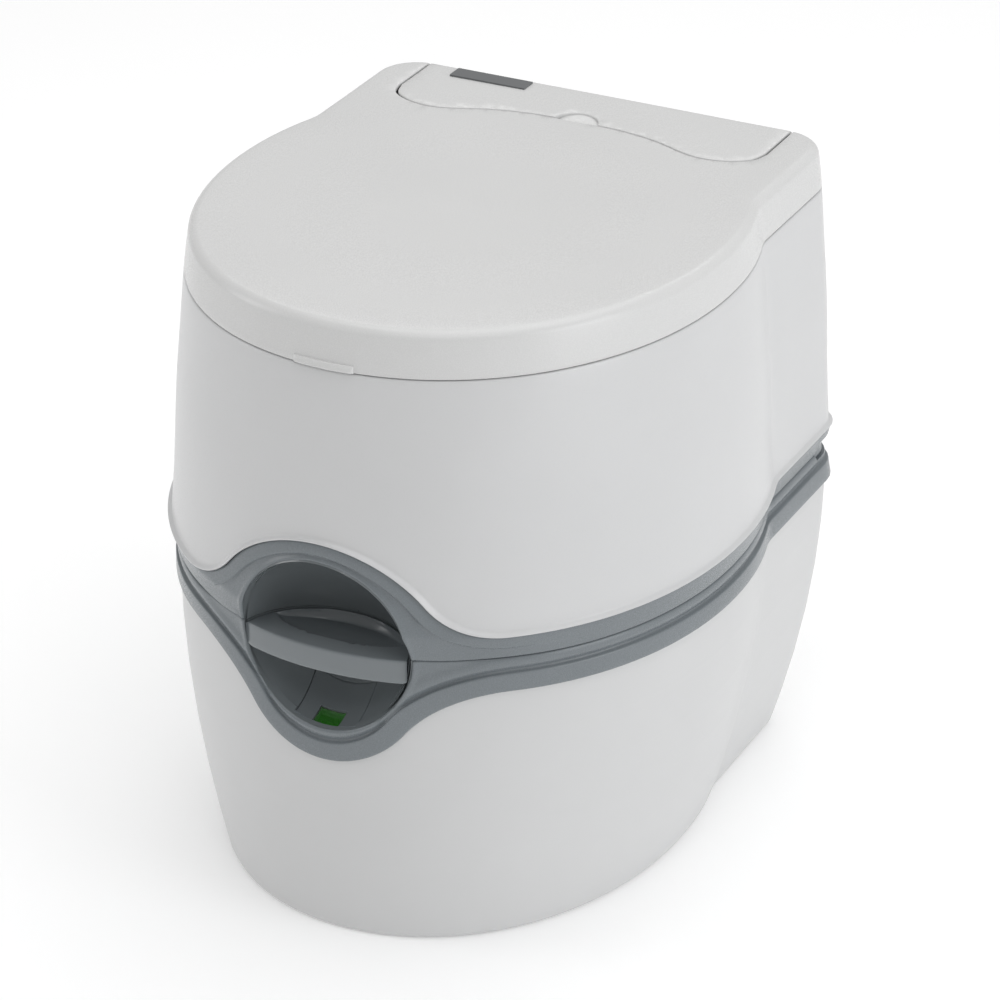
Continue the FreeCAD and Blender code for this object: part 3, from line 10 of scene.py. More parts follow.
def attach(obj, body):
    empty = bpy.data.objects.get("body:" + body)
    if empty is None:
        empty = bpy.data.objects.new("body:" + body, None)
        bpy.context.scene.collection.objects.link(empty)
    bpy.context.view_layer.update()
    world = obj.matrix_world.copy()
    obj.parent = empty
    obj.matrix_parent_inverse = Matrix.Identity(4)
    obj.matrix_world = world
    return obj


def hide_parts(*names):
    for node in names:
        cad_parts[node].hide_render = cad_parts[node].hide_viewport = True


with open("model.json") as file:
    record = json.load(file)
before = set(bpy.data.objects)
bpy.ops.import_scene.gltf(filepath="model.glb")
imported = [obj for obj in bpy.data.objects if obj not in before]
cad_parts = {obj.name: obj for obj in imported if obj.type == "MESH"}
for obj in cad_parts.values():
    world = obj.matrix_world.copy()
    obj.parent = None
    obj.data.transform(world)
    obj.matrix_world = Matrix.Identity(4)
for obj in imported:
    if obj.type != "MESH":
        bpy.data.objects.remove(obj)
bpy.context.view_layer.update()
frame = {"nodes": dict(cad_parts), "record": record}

# All sizes below are in millimetres; MM turns them into metres. +Z is up and the front faces -Y.
MM = 0.001

# ---------------------------------------------------------------------------
# Plan of the object: round front, waist, straight rear block with round corners
# ---------------------------------------------------------------------------
SPLIT = 222.2            # joint between the two trims
SEAM = 415.2             # lower edge of the lid
SHELL_TOP = 414.1        # top edge of the white upper shell
LID_TOP = 446.0
SPLIT_GAP = 0.4          # the upper trim starts this far above the split
LOWER_DROP = 0.0001      # the lower trim ends this far below it
# height: half width of the round front, its length, half width of the rear block, rear wall
PLAN_LEVELS = (
    (197.8, (193.5, 222.6, 182.2, 220.8)),
    (SPLIT, (192.4, 224.6, 178.2, 219.6)),
    (240.3, (197.4, 230.0, 183.7, 221.0)),
    (SEAM, (182.2, 213.1, 168.4, 217.0)),
    (LID_TOP, (178.6, 208.6, 165.4, 215.0)),
)
TANK_TOP = (190.9, 219.8, 179.6, 216.6)
TANK_FOOT = (158.8, 205.3, 150.8, 202.6)
TANK_FLARE = 195.0       # the tank widens up to this height
TANK_CURVE = 1.92        # exponent of its widening
TRIM_PROUD = 2.6         # the lower trim stands this far out from the tank
FRONT_Y = 8.2            # centre of the round front
POWER = 2.05             # its superellipse exponent
CORNER = 30.0            # radius of the rear corners
WAIST = 7.0              # blend between the front and the rear block
REAR_FIXED = 144.0       # on the rear wall, columns keep their x up to here


def mix(a, b, t):
    """Straight blend of two numbers."""
    return a + (b - a) * t


def smooth(t):
    """Smooth step from 0 to 1."""
    t = min(max(t, 0.0), 1.0)
    return t * t * (3.0 - 2.0 * t)


def table(points, at):
    """Piecewise straight function given as (place, value) points."""
    if at <= points[0][0]:
        return points[0][1]
    for (p0, v0), (p1, v1) in zip(points, points[1:]):
        if at <= p1:
            return mix(v0, v1, (at - p0) / (p1 - p0))
    return points[-1][1]


def body_plan(z):
    """Plan of the trims, the lid and the rear cover."""
    z = min(max(z, PLAN_LEVELS[0][0]), PLAN_LEVELS[-1][0])
    for (z0, low), (z1, high) in zip(PLAN_LEVELS, PLAN_LEVELS[1:]):
        if z <= z1:
            return tuple(mix(a, b, (z - z0) / (z1 - z0)) for a, b in zip(low, high))
    return PLAN_LEVELS[-1][1]


def shell_plan(z):
    """Plan of the white upper shell, whose rear wall stands almost upright."""
    return body_plan(z)[:3] + (mix(217.6, 217.0, (z - 240.3) / (SEAM - 240.3)),)


def tank_plan(z):
    """Plan of the waste tank, which flares like a bowl."""
    share = (max(TANK_FLARE - z, 0.0) / TANK_FLARE) ** TANK_CURVE
    return tuple(top - share * (top - foot) for top, foot in zip(TANK_TOP, TANK_FOOT))


def trim_plan(z):
    """Plan of the lower trim: on the body above its level edge, proud of the tank below it."""
    if z >= PLAN_LEVELS[0][0]:
        return body_plan(z)
    return tuple(size + TRIM_PROUD for size in tank_plan(z))


def plan_xy(station, plan, out=0.0):
    """Point of a plan outline at a station, moved outwards by a distance."""
    zone, value, side = station
    half, length, block, rear = (size + out for size in plan)
    corner = CORNER + out
    core = block - corner
    if zone == "rear":
        reach = max(value - core, 0.0)
        return side * value, rear - corner + math.sqrt(corner ** 2 - reach ** 2)
    if zone == "corner":
        turn = value * math.acos(min((REAR_FIXED - core) / corner, 1.0))
        return side * (core + corner * math.cos(turn)), rear - corner + corner * math.sin(turn)
    rise = (1 - (block / half) ** POWER) ** (1 / POWER)
    waist_y = FRONT_Y + length * rise - WAIST
    waist_s = (waist_y - FRONT_Y) / length
    waist_x = half * (1 - waist_s ** POWER) ** (1 / POWER)
    if zone == "side":
        return side * block, mix(waist_y + 2 * WAIST, rear - corner, value)
    if zone == "waist":
        p, q, r = (1 - value) ** 2, 2 * value * (1 - value), value ** 2
        x = p * waist_x + (q + r) * block
        y = p * waist_y + q * (waist_y + WAIST) + r * (waist_y + 2 * WAIST)
        return side * x, y
    start = math.asin(waist_s ** (POWER / 2))
    angle = -math.pi / 2 + value * (start + math.pi / 2)
    c, s = math.cos(angle), math.sin(angle)
    x = half * max(c, 0.0) ** (2 / POWER)
    return side * x, FRONT_Y + length * math.copysign(abs(s) ** (2 / POWER), s)


def front_y(x, plan, out=0.0):
    """Depth of the round front at x."""
    half, length = plan[0] + out, plan[1] + out
    return FRONT_Y - length * (1 - min(abs(x) / half, 1.0) ** POWER) ** (1 / POWER)


DENSE = 62               # fine columns each side of the middle, over the recess and its trim
DENSE_SHARE = 0.42       # share of the round front that they cover
STEP_Y = 178.4           # behind this line the upper trim reaches down by STEP_DROP
STEP_RUN = 2.2           # length of that step
STEP_DROP = 5.8
REAR_XS = (141.0, 138.6, 137.0, 125.0, 105.0, 85.0, 60.0, 35.0, 12.0, 0.0)


def half_ring():
    """Stations from the middle of the front to the middle of the rear, on the right-hand side."""
    steps = [("front", DENSE_SHARE * i / DENSE) for i in range(DENSE + 1)]
    steps += [("front", mix(DENSE_SHARE, 1.0, i / 24)) for i in range(1, 25)]
    steps += [("waist", i / 6) for i in range(1, 7)]
    front = plan_xy(("side", 0.0, 1), body_plan(SPLIT))[1]
    length = plan_xy(("side", 1.0, 1), body_plan(SPLIT))[1] - front
    extra = [(STEP_Y + shift - front) / length for shift in (-1.2, -0.4, 0.2, 0.8, 1.4, 2.0, 2.8, 3.6)]
    steps += [("side", value) for value in sorted([i / 9 for i in range(1, 10)] + extra)]
    steps += [("corner", i / 9) for i in range(1, 10)]
    steps += [("rear", x) for x in REAR_XS]
    return [(zone, value, 1) for zone, value in steps]


HALF_RING = half_ring()
RING = HALF_RING + [(zone, value, -1) for zone, value, _ in HALF_RING[-2:0:-1]]

# ---------------------------------------------------------------------------
# Waved edges of the trims
# ---------------------------------------------------------------------------
EYE = 60.0               # radius of the round handle recess
UPPER_WAVE = (240.3, 56.1, 90.0, 117.0)      # level, rise, radius of the crest, half width
LOWER_WAVE = (197.8, -59.5, 68.0, 118.0)


def wave_z(wave, x, y, shift=0.0):
    """Height of a waved edge, moved off the trim by a distance square to itself."""
    level, rise, radius, reach = wave
    sign = math.copysign(1.0, rise)
    rise = abs(rise)
    total = (reach ** 2 + rise ** 2) / (2 * rise)
    radius += shift
    flank = total - radius
    level += sign * shift
    x = abs(x)
    if y > 0 or x >= reach:
        return level
    if x <= reach * radius / total:
        return level + sign * (rise - radius + math.sqrt(radius ** 2 - x ** 2))
    return level + sign * (flank - math.sqrt(flank ** 2 - (reach - x) ** 2))


def wave_distance(wave, x, y, z):
    """Distance from a waved edge into the trim."""
    level, rise, radius, reach = wave
    up = math.copysign(1.0, rise) * (z - level)
    rise = abs(rise)
    flank = (reach ** 2 + rise ** 2) / (2 * rise) - radius
    x = abs(x)
    if y > 0 or x >= reach:
        return -up
    core = rise - radius
    if x * (flank - core) - (up - core) * reach <= 0:
        return radius - math.hypot(x, up - core)
    return math.hypot(x - reach, up - flank) - flank


# ---------------------------------------------------------------------------
# Mesh helpers
# ---------------------------------------------------------------------------
def settle(mesh, angle=38.0):
    """Smooth shading with hard edges only where faces meet sharply."""
    bm = bmesh.new()
    bm.from_mesh(mesh)
    bmesh.ops.remove_doubles(bm, verts=bm.verts, dist=1e-6)
    bmesh.ops.recalc_face_normals(bm, faces=bm.faces)
    for face in bm.faces:
        face.smooth = True
    for edge in bm.edges:
        edge.smooth = edge.calc_face_angle(0.0) < math.radians(angle)
    bm.to_mesh(mesh)
    bm.free()


def piece(name, points, faces, body, slot, nodes, angle=38.0):
    """Object from points in millimetres; it rides on a body and stands for CAD nodes."""
    mesh = bpy.data.meshes.new(name)
    mesh.from_pydata([tuple(c * MM for c in p) for p in points], [], faces)
    settle(mesh, angle)
    obj = bpy.data.objects.new(name, mesh)
    bpy.context.scene.collection.objects.link(obj)
    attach(obj, body)
    if nodes:
        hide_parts(*nodes)
    mesh.materials.append(MATERIALS[slot])
    return obj


def grid_faces(rows, cols, wrap_rows, wrap_cols, first=0):
    """Quads of a grid of points."""
    faces = []
    for r in range(rows if wrap_rows else rows - 1):
        for c in range(cols if wrap_cols else cols - 1):
            a, b = r * cols, ((r + 1) % rows) * cols
            d = (c + 1) % cols
            faces.append((first + a + c, first + a + d, first + b + d, first + b + c))
    return faces


def flat_points(rows):
    """Rows of points as one list."""
    return [point for row in rows for point in row]


def add_modifier(obj, kind, **settings):
    """Modifier with its settings."""
    modifier = obj.modifiers.new(kind.lower(), kind)
    for key, value in settings.items():
        setattr(modifier, key, value)
    return modifier


# ---------------------------------------------------------------------------
# Materials
# ---------------------------------------------------------------------------
def link(tree, a, out, b, into):
    """Join two sockets."""
    tree.links.new(a.outputs[out], b.inputs[into])


def node(tree, kind, **values):
    """Shader node; values set its input sockets by name."""
    item = tree.nodes.new(kind)
    for key, value in values.items():
        item.inputs[key.replace("_", " ")].default_value = value
    return item


GLOSS_DRIFT = 0.04       # the roughness varies by this much either way


def finish(name, colour, rough, grain=0.12, grain_size=0.45, shade=0.03, metal=0.0, coat=0.0, alpha=1.0,
           stretch=(1.0, 1.0, 1.0)):
    """Moulded finish: slow colour and gloss drift over the surface and a fine grain in the normal."""
    material = bpy.data.materials.new(name)
    material.use_nodes = True
    tree = material.node_tree
    tree.nodes.clear()
    output = tree.nodes.new("ShaderNodeOutputMaterial")
    shader = node(tree, "ShaderNodeBsdfPrincipled", Metallic=metal, Coat_Weight=coat, Alpha=alpha,
                  Coat_Roughness=0.08)
    place = tree.nodes.new("ShaderNodeTexCoord")
    stretcher = node(tree, "ShaderNodeMapping", Scale=stretch)
    link(tree, place, "Object", stretcher, "Vector")
    drift = node(tree, "ShaderNodeTexNoise", Scale=9.0, Detail=3.0, Roughness=0.5)
    fine = node(tree, "ShaderNodeTexNoise", Scale=1.0 / (grain_size * MM), Detail=2.0, Roughness=0.6)
    for texture in (drift, fine):
        link(tree, stretcher, "Vector", texture, "Vector")
    ramp = tree.nodes.new("ShaderNodeValToRGB")
    ramp.color_ramp.elements[0].position = 0.3
    ramp.color_ramp.elements[1].position = 0.7
    for element, factor in zip(ramp.color_ramp.elements, (1.0 - shade, 1.0 + shade)):
        element.color = tuple(min(c * factor, 1.0) for c in colour) + (1.0,)
    link(tree, drift, "Fac", ramp, "Fac")
    link(tree, ramp, "Color", shader, "Base Color")
    gloss = node(tree, "ShaderNodeMapRange", From_Min=0.25, From_Max=0.75, To_Min=rough - GLOSS_DRIFT,
                 To_Max=rough + GLOSS_DRIFT)
    link(tree, fine, "Fac", gloss, "Value")
    link(tree, gloss, "Result", shader, "Roughness")
    bump = node(tree, "ShaderNodeBump", Strength=grain, Distance=0.0002)
    link(tree, fine, "Fac", bump, "Height")
    link(tree, bump, "Normal", shader, "Normal")
    link(tree, shader, "BSDF", output, "Surface")
    return material


MATERIALS = {
    "white_plastic": finish("white_plastic", (0.60, 0.602, 0.605), 0.3, shade=0.015),
    "lid_plastic": finish("lid_plastic", (0.632, 0.632, 0.628), 0.27, shade=0.015),
    "tank_plastic": finish("tank_plastic", (0.60, 0.602, 0.603), 0.36, grain=0.14, grain_size=0.8,
                           shade=0.015),
    "grey_trim": finish("grey_trim", (0.172, 0.192, 0.205), 0.27),
    "handle_plastic": finish("handle_plastic", (0.165, 0.184, 0.194), 0.24, grain=0.05, coat=0.3),
    # painted shade: the recess is the same grey plastic as the trims, and this colour is darker than
    # grey_trim to stand in for the shade inside the hollow
    "recess_plastic": finish("recess_plastic", (0.15, 0.167, 0.175), 0.2, grain=0.04, coat=0.35),
    "clear_window": finish("clear_window", (0.04, 0.22, 0.025), 0.1, grain=0.02, alpha=0.5, coat=0.3),
    "inner_plastic": finish("inner_plastic", (0.50, 0.52, 0.535), 0.42),
    "bowl_plastic": finish("bowl_plastic", (0.80, 0.80, 0.79), 0.18, grain=0.03, coat=0.5),
    "grey_blade": finish("grey_blade", (0.26, 0.28, 0.30), 0.35),
    "dark_spout": finish("dark_spout", (0.19, 0.21, 0.23), 0.40),
    "grey_cap": finish("grey_cap", (0.17, 0.19, 0.205), 0.38),
    "flag_green": finish("flag_green", (0.10, 0.52, 0.06), 0.5),
    "seal_rubber": finish("seal_rubber", (0.025, 0.025, 0.027), 0.62, grain=0.3, grain_size=0.9),
    "hose_rubber": finish("hose_rubber", (0.09, 0.09, 0.095), 0.5),
    "steel": finish("steel", (0.58, 0.585, 0.59), 0.3, metal=1.0, stretch=(1.0, 1.0, 14.0)),
    "badge": finish("badge", (0.10, 0.105, 0.11), 0.2, grain=0.04, coat=0.5),
}
for entry in frame["record"]["subparts"]:
    mesh = frame["nodes"][entry["node"]].data
    mesh.materials.clear()
    mesh.materials.append(MATERIALS[entry["material_slot"]])


# ---------------------------------------------------------------------------
# White upper shell
# ---------------------------------------------------------------------------
def on_wall(station, plan_of, height_of, out):
    """Point of a wall: its height follows height_of(x, y), its plan follows that height."""
    z = height_of(0.0, 1.0)
    x, y = plan_xy(station, plan_of(z), out)
    for _ in range(4):
        z = height_of(x, y)
        x, y = plan_xy(station, plan_of(z), out)
    return x, y, z


# distance above the shell's lower edge, and how far that row stands out
SHELL_LIP = ((0.0, -1.0), (0.25, -0.4), (0.6, -0.08), (1.0, 0.0), (1.35, -0.25), (1.7, -0.85), (2.1, -1.65),
             (2.5, -2.3), (2.9, -2.65), (3.6, -2.8), (5.0, -2.85), (9.0, -2.75), (14.0, -2.6))
SHELL_RIM = ((-1.6, 0.0), (-0.8, -0.15), (-0.25, -0.55), (0.0, -1.2), (0.0, -2.2), (-0.8, -3.0))


def shell_edge(shift):
    """Height function of the upper shell's lower edge."""
    return lambda x, y: wave_z(UPPER_WAVE, x, y, shift)


def upper_shell():
    """White shell with a rolled lip along its waved lower edge."""
    rows = []
    for lift, out in SHELL_LIP:
        rows.append([on_wall(s, shell_plan, shell_edge(lift), out) for s in RING])
    last = SHELL_LIP[-1][0]
    steps = 16
    for i in range(1, steps + 1):
        share = i / steps
        row = []
        for s in RING:
            edge_z = on_wall(s, shell_plan, shell_edge(last), 0.0)[2]
            z = mix(edge_z, SHELL_TOP + SHELL_RIM[0][0], share)
            out = SHELL_LIP[-1][1] * (1 - smooth((z - edge_z) / 95.0))
            row.append(plan_xy(s, shell_plan(z), out) + (z,))
        rows.append(row)
    for drop, out in SHELL_RIM:
        z = SHELL_TOP + drop
        rows.append([plan_xy(s, shell_plan(z), out) + (z,) for s in RING])
    for i in range(1, 7):
        row = []
        for s in RING:
            edge_z = on_wall(s, shell_plan, shell_edge(2.0), 0.0)[2]
            z = mix(SHELL_TOP - 3.0, edge_z, i / 6)
            out = -3.0 + SHELL_LIP[-1][1] * (1 - smooth((z - edge_z) / 95.0))
            row.append(plan_xy(s, shell_plan(z), out) + (z,))
        rows.append(row)
    rows.append([on_wall(s, shell_plan, shell_edge(0.0), -3.6) for s in RING])
    faces = grid_faces(len(rows), len(RING), True, True)
    return piece("upper_shell_skin", flat_points(rows), faces, "upper_section", "white_plastic",
                 ["upper_shell"])


# ---------------------------------------------------------------------------
# Grey trims
# ---------------------------------------------------------------------------
TURN_X = 95.0            # the column from here on the waved edge ends at the recess's corner
SPREAD_X = 140.0         # columns are upright again from here outwards
# distance from the waved edge into the trim, and how far the surface stands out there
LOWER_STEP = ((0.0, -1.0), (0.3, -0.3), (0.8, 0.2), (1.4, 0.4), (5.0, 0.4), (9.0, 0.4), (12.4, 0.4),
              (12.9, 0.3), (13.3, 0.05), (13.6, -0.45), (13.85, -1.3), (14.1, -2.0), (14.6, -2.4),
              (15.4, -2.45), (16.2, -2.1), (17.2, -1.35), (18.6, -0.7), (20.5, -0.5), (22.5, -0.85),
              (26.0, -1.9))
LOWER_ROWS = 17          # so many of them have a row of points of their own
UPPER_STEP = ((0.3, -2.8), (0.6, -2.3), (1.0, -2.0), (1.6, -1.85), (4.0, -1.6), (7.0, -1.35), (7.7, -1.45),
              (8.2, -1.85), (8.8, -2.6), (9.3, -3.2), (9.9, -3.4), (12.0, -3.1), (18.0, -1.9), (24.0, -1.0))
UPPER_ROWS = 11
UPPER_PLAIN = ((0.3, -2.8), (0.6, -2.3), (1.0, -2.0), (1.6, -1.85), (7.0, -1.5), (18.0, -0.7))
UPPER_REAR = ((0.3, -2.8), (0.6, -2.3), (1.0, -2.0), (1.6, -1.85), (8.0, -1.2), (8.8, -1.5), (9.9, -2.4),
              (11.5, -3.2), (24.0, -3.3))
# distance from the recess's rim or from the split, and how far the trim's lip stands out there
LOWER_LIP = ((5.6, 0.0), (4.4, 0.2), (3.2, 0.75), (2.3, 0.9), (1.5, 0.6), (0.9, 0.05), (0.4, -0.8),
             (0.0, -1.7))
UPPER_LIP = ((4.6, 0.0), (3.7, 0.35), (2.9, 0.85), (2.1, 0.95), (1.4, 0.6), (0.8, 0.0), (0.35, -0.8),
             (0.0, -1.7))
SPLIT_EDGE = ((6.0, 0.0), (4.0, 0.0), (2.5, 0.0), (1.4, 0.0), (0.9, -0.05), (0.5, -0.22), (0.2, -0.5),
              (0.0, -0.9))
TRIM_DEPTH = -5.2        # inner face of the trims


def split_of(station, split):
    """Height of a trim's split edge at a station: it steps down near the rear."""
    y = plan_xy(station, body_plan(SPLIT))[1]
    gap = 0.5 if split > SPLIT else 0.0
    return split - STEP_DROP * smooth((y - gap - STEP_Y) / STEP_RUN)


def rim_end(x, split):
    """Where the column that starts at x on the waved edge ends: on the recess's circle or on the split."""
    side = math.copysign(1.0, x)
    x = abs(x)
    turn = min(x / TURN_X, 1.0) * math.pi / 2
    up = 1.0 if split > SPLIT else -1.0
    if x < TURN_X:
        return side * EYE * math.sin(turn), SPLIT + up * EYE * math.cos(turn), True
    if x < SPREAD_X:
        return side * mix(EYE, SPREAD_X, (x - TURN_X) / (SPREAD_X - TURN_X)), split, False
    return side * x, split, False


class Column:
    """One column of a trim, from its waved edge to the recess or the split."""

    def __init__(self, station, wave, split, plan_of):
        self.station, self.wave, self.plan_of = station, wave, plan_of
        split = self.split = split_of(station, split)
        x, y, z = on_wall(station, plan_of, lambda a, b: wave_z(wave, a, b), 0.0)
        self.start = (x, z)
        self.slanted = station[0] == "front" and station[1] <= DENSE_SHARE
        self.end = (x, split)
        self.round = False
        if self.slanted:
            end_x, end_z, self.round = rim_end(x, split)
            self.end = (end_x, end_z)
        if self.round and split > SPLIT:
            self.end = (end_x, max(end_z, split))

    def at(self, t, out=0.0):
        """Point on the surface at a share of the way along the column."""
        z = mix(self.start[1], self.end[1], t)
        plan = self.plan_of(z)
        if self.slanted:
            x = mix(self.start[0], self.end[0], t)
            return x, front_y(x, plan, out), z
        return plan_xy(self.station, plan, out) + (z,)

    def edge_distance(self, t):
        """Distance from the waved edge at a share of the way."""
        return wave_distance(self.wave, *self.at(t))

    def rim_distance(self, t):
        """Distance from the recess's rim, or from the split, at a share of the way."""
        x, y, z = self.at(t)
        if self.round:
            return math.hypot(x, z - SPLIT) - EYE
        return abs(z - self.split)

    def share(self, measure, target, rising):
        """Share of the way at which a distance is reached."""
        low, high = 0.0, 1.0
        for _ in range(18):
            middle = (low + high) / 2
            if (measure(middle) < target) == rising:
                low = middle
            else:
                high = middle
        return (low + high) / 2


def trim_relief(wave, split, upper, x, y, z):
    """How far the trim stands out at a point of its surface."""
    distance = wave_distance(wave, x, y, z)
    if upper:
        near = smooth(abs(x) / 50.0)
        distance -= 1.1 * near * min(distance / 7.0, 1.0)
        fade = 1.0 - smooth((abs(x) - 80.0) / 75.0) if y < 0 else 0.0
        relief = mix(table(UPPER_PLAIN, distance), table(UPPER_STEP, distance), fade)
        relief = mix(relief, table(UPPER_REAR, distance), smooth((y - STEP_Y) / STEP_RUN))
    else:
        relief = table(LOWER_STEP, distance)
    relief += table(SPLIT_EDGE[::-1], abs(z - split))
    if y < 0 and abs(x) < TURN_X:
        lip = UPPER_LIP if upper else LOWER_LIP
        relief += table(lip[::-1], math.hypot(x, z - SPLIT) - EYE)
    return relief


def trim(name, wave, split, plan_of, steps, lip, body, nodes):
    """Closed ribbon round the whole plan, with its step, its rim round the recess and its split edge."""
    columns = [Column(s, wave, split, plan_of) for s in RING]
    upper = split > SPLIT
    middle = 6
    grid = []
    for column in columns:
        shares = [column.share(column.edge_distance, d, True) for d, _ in steps]
        if steps[0][0] == 0.0:
            shares[0] = 0.0
        ends = lip if column.round else SPLIT_EDGE
        tail = [column.share(column.rim_distance, d, False) for d, _ in ends]
        tail[-1] = 1.0
        tail = [max(t, shares[-1]) for t in tail]
        gap = [mix(shares[-1], tail[0], i / (middle + 1)) for i in range(1, middle + 1)]
        line = []
        for t in shares + gap + tail:
            x, y, z = column.at(t)
            line.append(column.at(t, trim_relief(wave, column.split, upper, x, y, z)))
        for t in (1.0, 0.7, 0.35, 0.0):
            line.append(column.at(t, TRIM_DEPTH))
        grid.append(line)
    rows = [[line[r] for line in grid] for r in range(len(grid[0]))]
    if upper:
        rows[-1] = []
        for column in columns:
            start = column.share(column.edge_distance, steps[0][0], True)
            rows[-1].append(column.at(start, TRIM_DEPTH))
    faces = grid_faces(len(rows), len(columns), True, True)
    return piece(name, flat_points(rows), faces, body, "grey_trim", nodes)


# ---------------------------------------------------------------------------
# Handle recess
# ---------------------------------------------------------------------------
DISH = (60.0, 55.0, 61.0)          # half sizes of the recess's ellipsoid
DISH_Y = -216.4
DISH_WALL = 2.4


def dish_point(turn, lift, grow):
    """Point of the recess: turn runs round the eye from below, lift from its rim to its deepest point."""
    a, b, c = (size + grow for size in DISH)
    return (a * math.cos(lift) * math.sin(turn), DISH_Y + b * math.sin(lift),
            SPLIT - c * math.cos(lift) * math.cos(turn))


PANEL = (-22.0, 22.0, -209.4, -178.0)          # x0, x1, y0, y1 of the panel round the window
PANEL_GAP = 0.35         # gap round the panel
PANEL_SINK = 0.05        # it lies this far below the recess's surface
PANEL_WALL = 1.0
WINDOW = (-10.0, 9.0, -195.0)      # x0, x1 and rear edge of the window
WINDOW_BAR = 1.4         # strip of the panel left standing in front of the window
WINDOW_GAP = 0.15
WINDOW_WALL = 2.0
WINDOW_SINK = 1.0        # the window lies this far below the recess's surface
CUT_Z = (140.0, 195.0)   # heights that the cuts for the panel and the window run through


def bowl_z(x, y, grow=0.0):
    """Height of the recess's lower half at a plan point."""
    a, b, c = (size + grow for size in DISH)
    return SPLIT - c * math.sqrt(max(1 - (x / a) ** 2 - ((y - DISH_Y) / b) ** 2, 0.0))


def recess(name, first, last, body, nodes):
    """Half of the recess as a closed shell: its rim meets the trim's lip."""
    turns = [math.radians(mix(first, last, i / 84)) for i in range(85)]
    lifts = (13, 15, 17.5, 20, 23, 26, 30, 34, 39, 44, 50, 56, 63, 70, 77, 84, 89.6)
    inner, outer = [], []
    for depth, radius in ((1.9, 60.15), (3.6, 59.9), (5.6, 59.3), (8.0, 58.6)):
        inner.append([rim_point(turn, radius, depth) for turn in turns])
    for lift in map(math.radians, lifts):
        inner.append([dish_point(turn, lift, 0.0) for turn in turns])
        outer.append([dish_point(turn, lift, DISH_WALL) for turn in turns])
    outer = outer[::-1]
    for depth in (8.0, 3.6, 1.9):
        outer.append([rim_point(turn, EYE + DISH_WALL, depth + 1.8) for turn in turns])
    rows = inner + outer
    faces = grid_faces(len(rows), len(turns), True, False)
    for column in (0, len(turns) - 1):
        faces.append(tuple(r * len(turns) + column for r in range(len(rows))))
    return piece(name, flat_points(rows), faces, body, "recess_plastic", nodes)


def rim_point(turn, radius, depth):
    """Point of the recess's collar, a distance behind the trim's front."""
    x, z = radius * math.sin(turn), SPLIT - radius * math.cos(turn)
    return x, front_y(x, body_plan(max(z, SPLIT - 20))) + depth, z


def cut_box(obj, x0, x1, y0, y1, z0, z1):
    """Cut a box out of an object."""
    mesh = bpy.data.meshes.new("cutter")
    corners = [(x, y, z) for z in (z0, z1) for y in (y0, y1) for x in (x0, x1)]
    sides = [(0, 2, 3, 1), (4, 5, 7, 6), (0, 1, 5, 4), (2, 6, 7, 3), (0, 4, 6, 2), (1, 3, 7, 5)]
    mesh.from_pydata([tuple(c * MM for c in p) for p in corners], [], sides)
    tool = bpy.data.objects.new("cutter", mesh)
    bpy.context.scene.collection.objects.link(tool)
    add_modifier(obj, "BOOLEAN", object=tool, operation="DIFFERENCE", solver="EXACT")
    bake(obj)
    bpy.data.objects.remove(tool)
    bpy.data.meshes.remove(mesh)
    settle(obj.data)


def dished_plate(name, area, top, wall, ease, body, slot, nodes):
    """Closed plate that follows the recess, top below its surface; ease is how far the rim sinks."""
    x0, x1, y0, y1 = area
    cols, lines = 44, 36
    offsets = (0.0, 0.12, 0.35, 0.75, 1.2)
    fall = (0.8, 0.42, 0.14, 0.02, 0.0)

    def spread(low, high, count):
        """Places between two ends, closer together near both."""
        places = [low + o for o in offsets]
        inner_low, inner_high = low + offsets[-1], high - offsets[-1]
        places += [mix(inner_low, inner_high, i / count) for i in range(1, count)]
        return places + [high - o for o in offsets[::-1]]

    xs, ys = spread(x0, x1, cols), spread(y0, y1, lines)

    def drop(value, low, high):
        """How far the surface sinks near the ends."""
        return ease * table(list(zip(offsets, fall)), min(value - low, high - value))

    rows = []
    for y in ys:
        rows.append([(x, y, bowl_z(x, y) - top - drop(x, x0, x1) - drop(y, y0, y1)) for x in xs])
    count = len(xs) * len(ys)
    lower = [(x, y, bowl_z(x, y) - top - wall) for y in ys for x in xs]
    faces = grid_faces(len(ys), len(xs), False, False)
    faces += [face[::-1] for face in grid_faces(len(ys), len(xs), False, False, count)]
    edge = list(range(len(xs)))
    edge += [r * len(xs) + len(xs) - 1 for r in range(1, len(ys))]
    edge += [(len(ys) - 1) * len(xs) + i for i in range(len(xs) - 2, -1, -1)]
    edge += [r * len(xs) for r in range(len(ys) - 2, 0, -1)]
    for a, b in zip(edge, edge[1:] + edge[:1]):
        faces.append((a, b, b + count, a + count))
    return piece(name, flat_points(rows) + lower, faces, body, slot, nodes)


def recess_front():
    """Lower recess with the panel and the level window let into it."""
    shell = recess("lower_recess_skin", -89.9, 89.9, "lower_section", ["lower_recess"])
    x0, x1, y0, y1 = PANEL
    cut_box(shell, x0 - PANEL_GAP, x1 + PANEL_GAP, y0 - PANEL_GAP, y1 + PANEL_GAP, *CUT_Z)
    panel = dished_plate("indicator_panel_skin", PANEL, PANEL_SINK, PANEL_WALL, 1.0, "lower_section",
                         "recess_plastic", ["indicator_panel"])
    x0, x1, y1 = WINDOW
    y0 = PANEL[2] + WINDOW_BAR
    cut_box(panel, x0, x1, y0, y1, *CUT_Z)
    add_modifier(panel, "BEVEL", width=0.3 * MM, segments=2, limit_method="ANGLE",
                 angle_limit=math.radians(60.0))
    area = (x0 + WINDOW_GAP, x1 - WINDOW_GAP, y0 + 0.1, y1 - WINDOW_GAP)
    dished_plate("indicator_window_skin", area, WINDOW_SINK, WINDOW_WALL, 0.4, "lower_section",
                 "clear_window", ["indicator_window"])


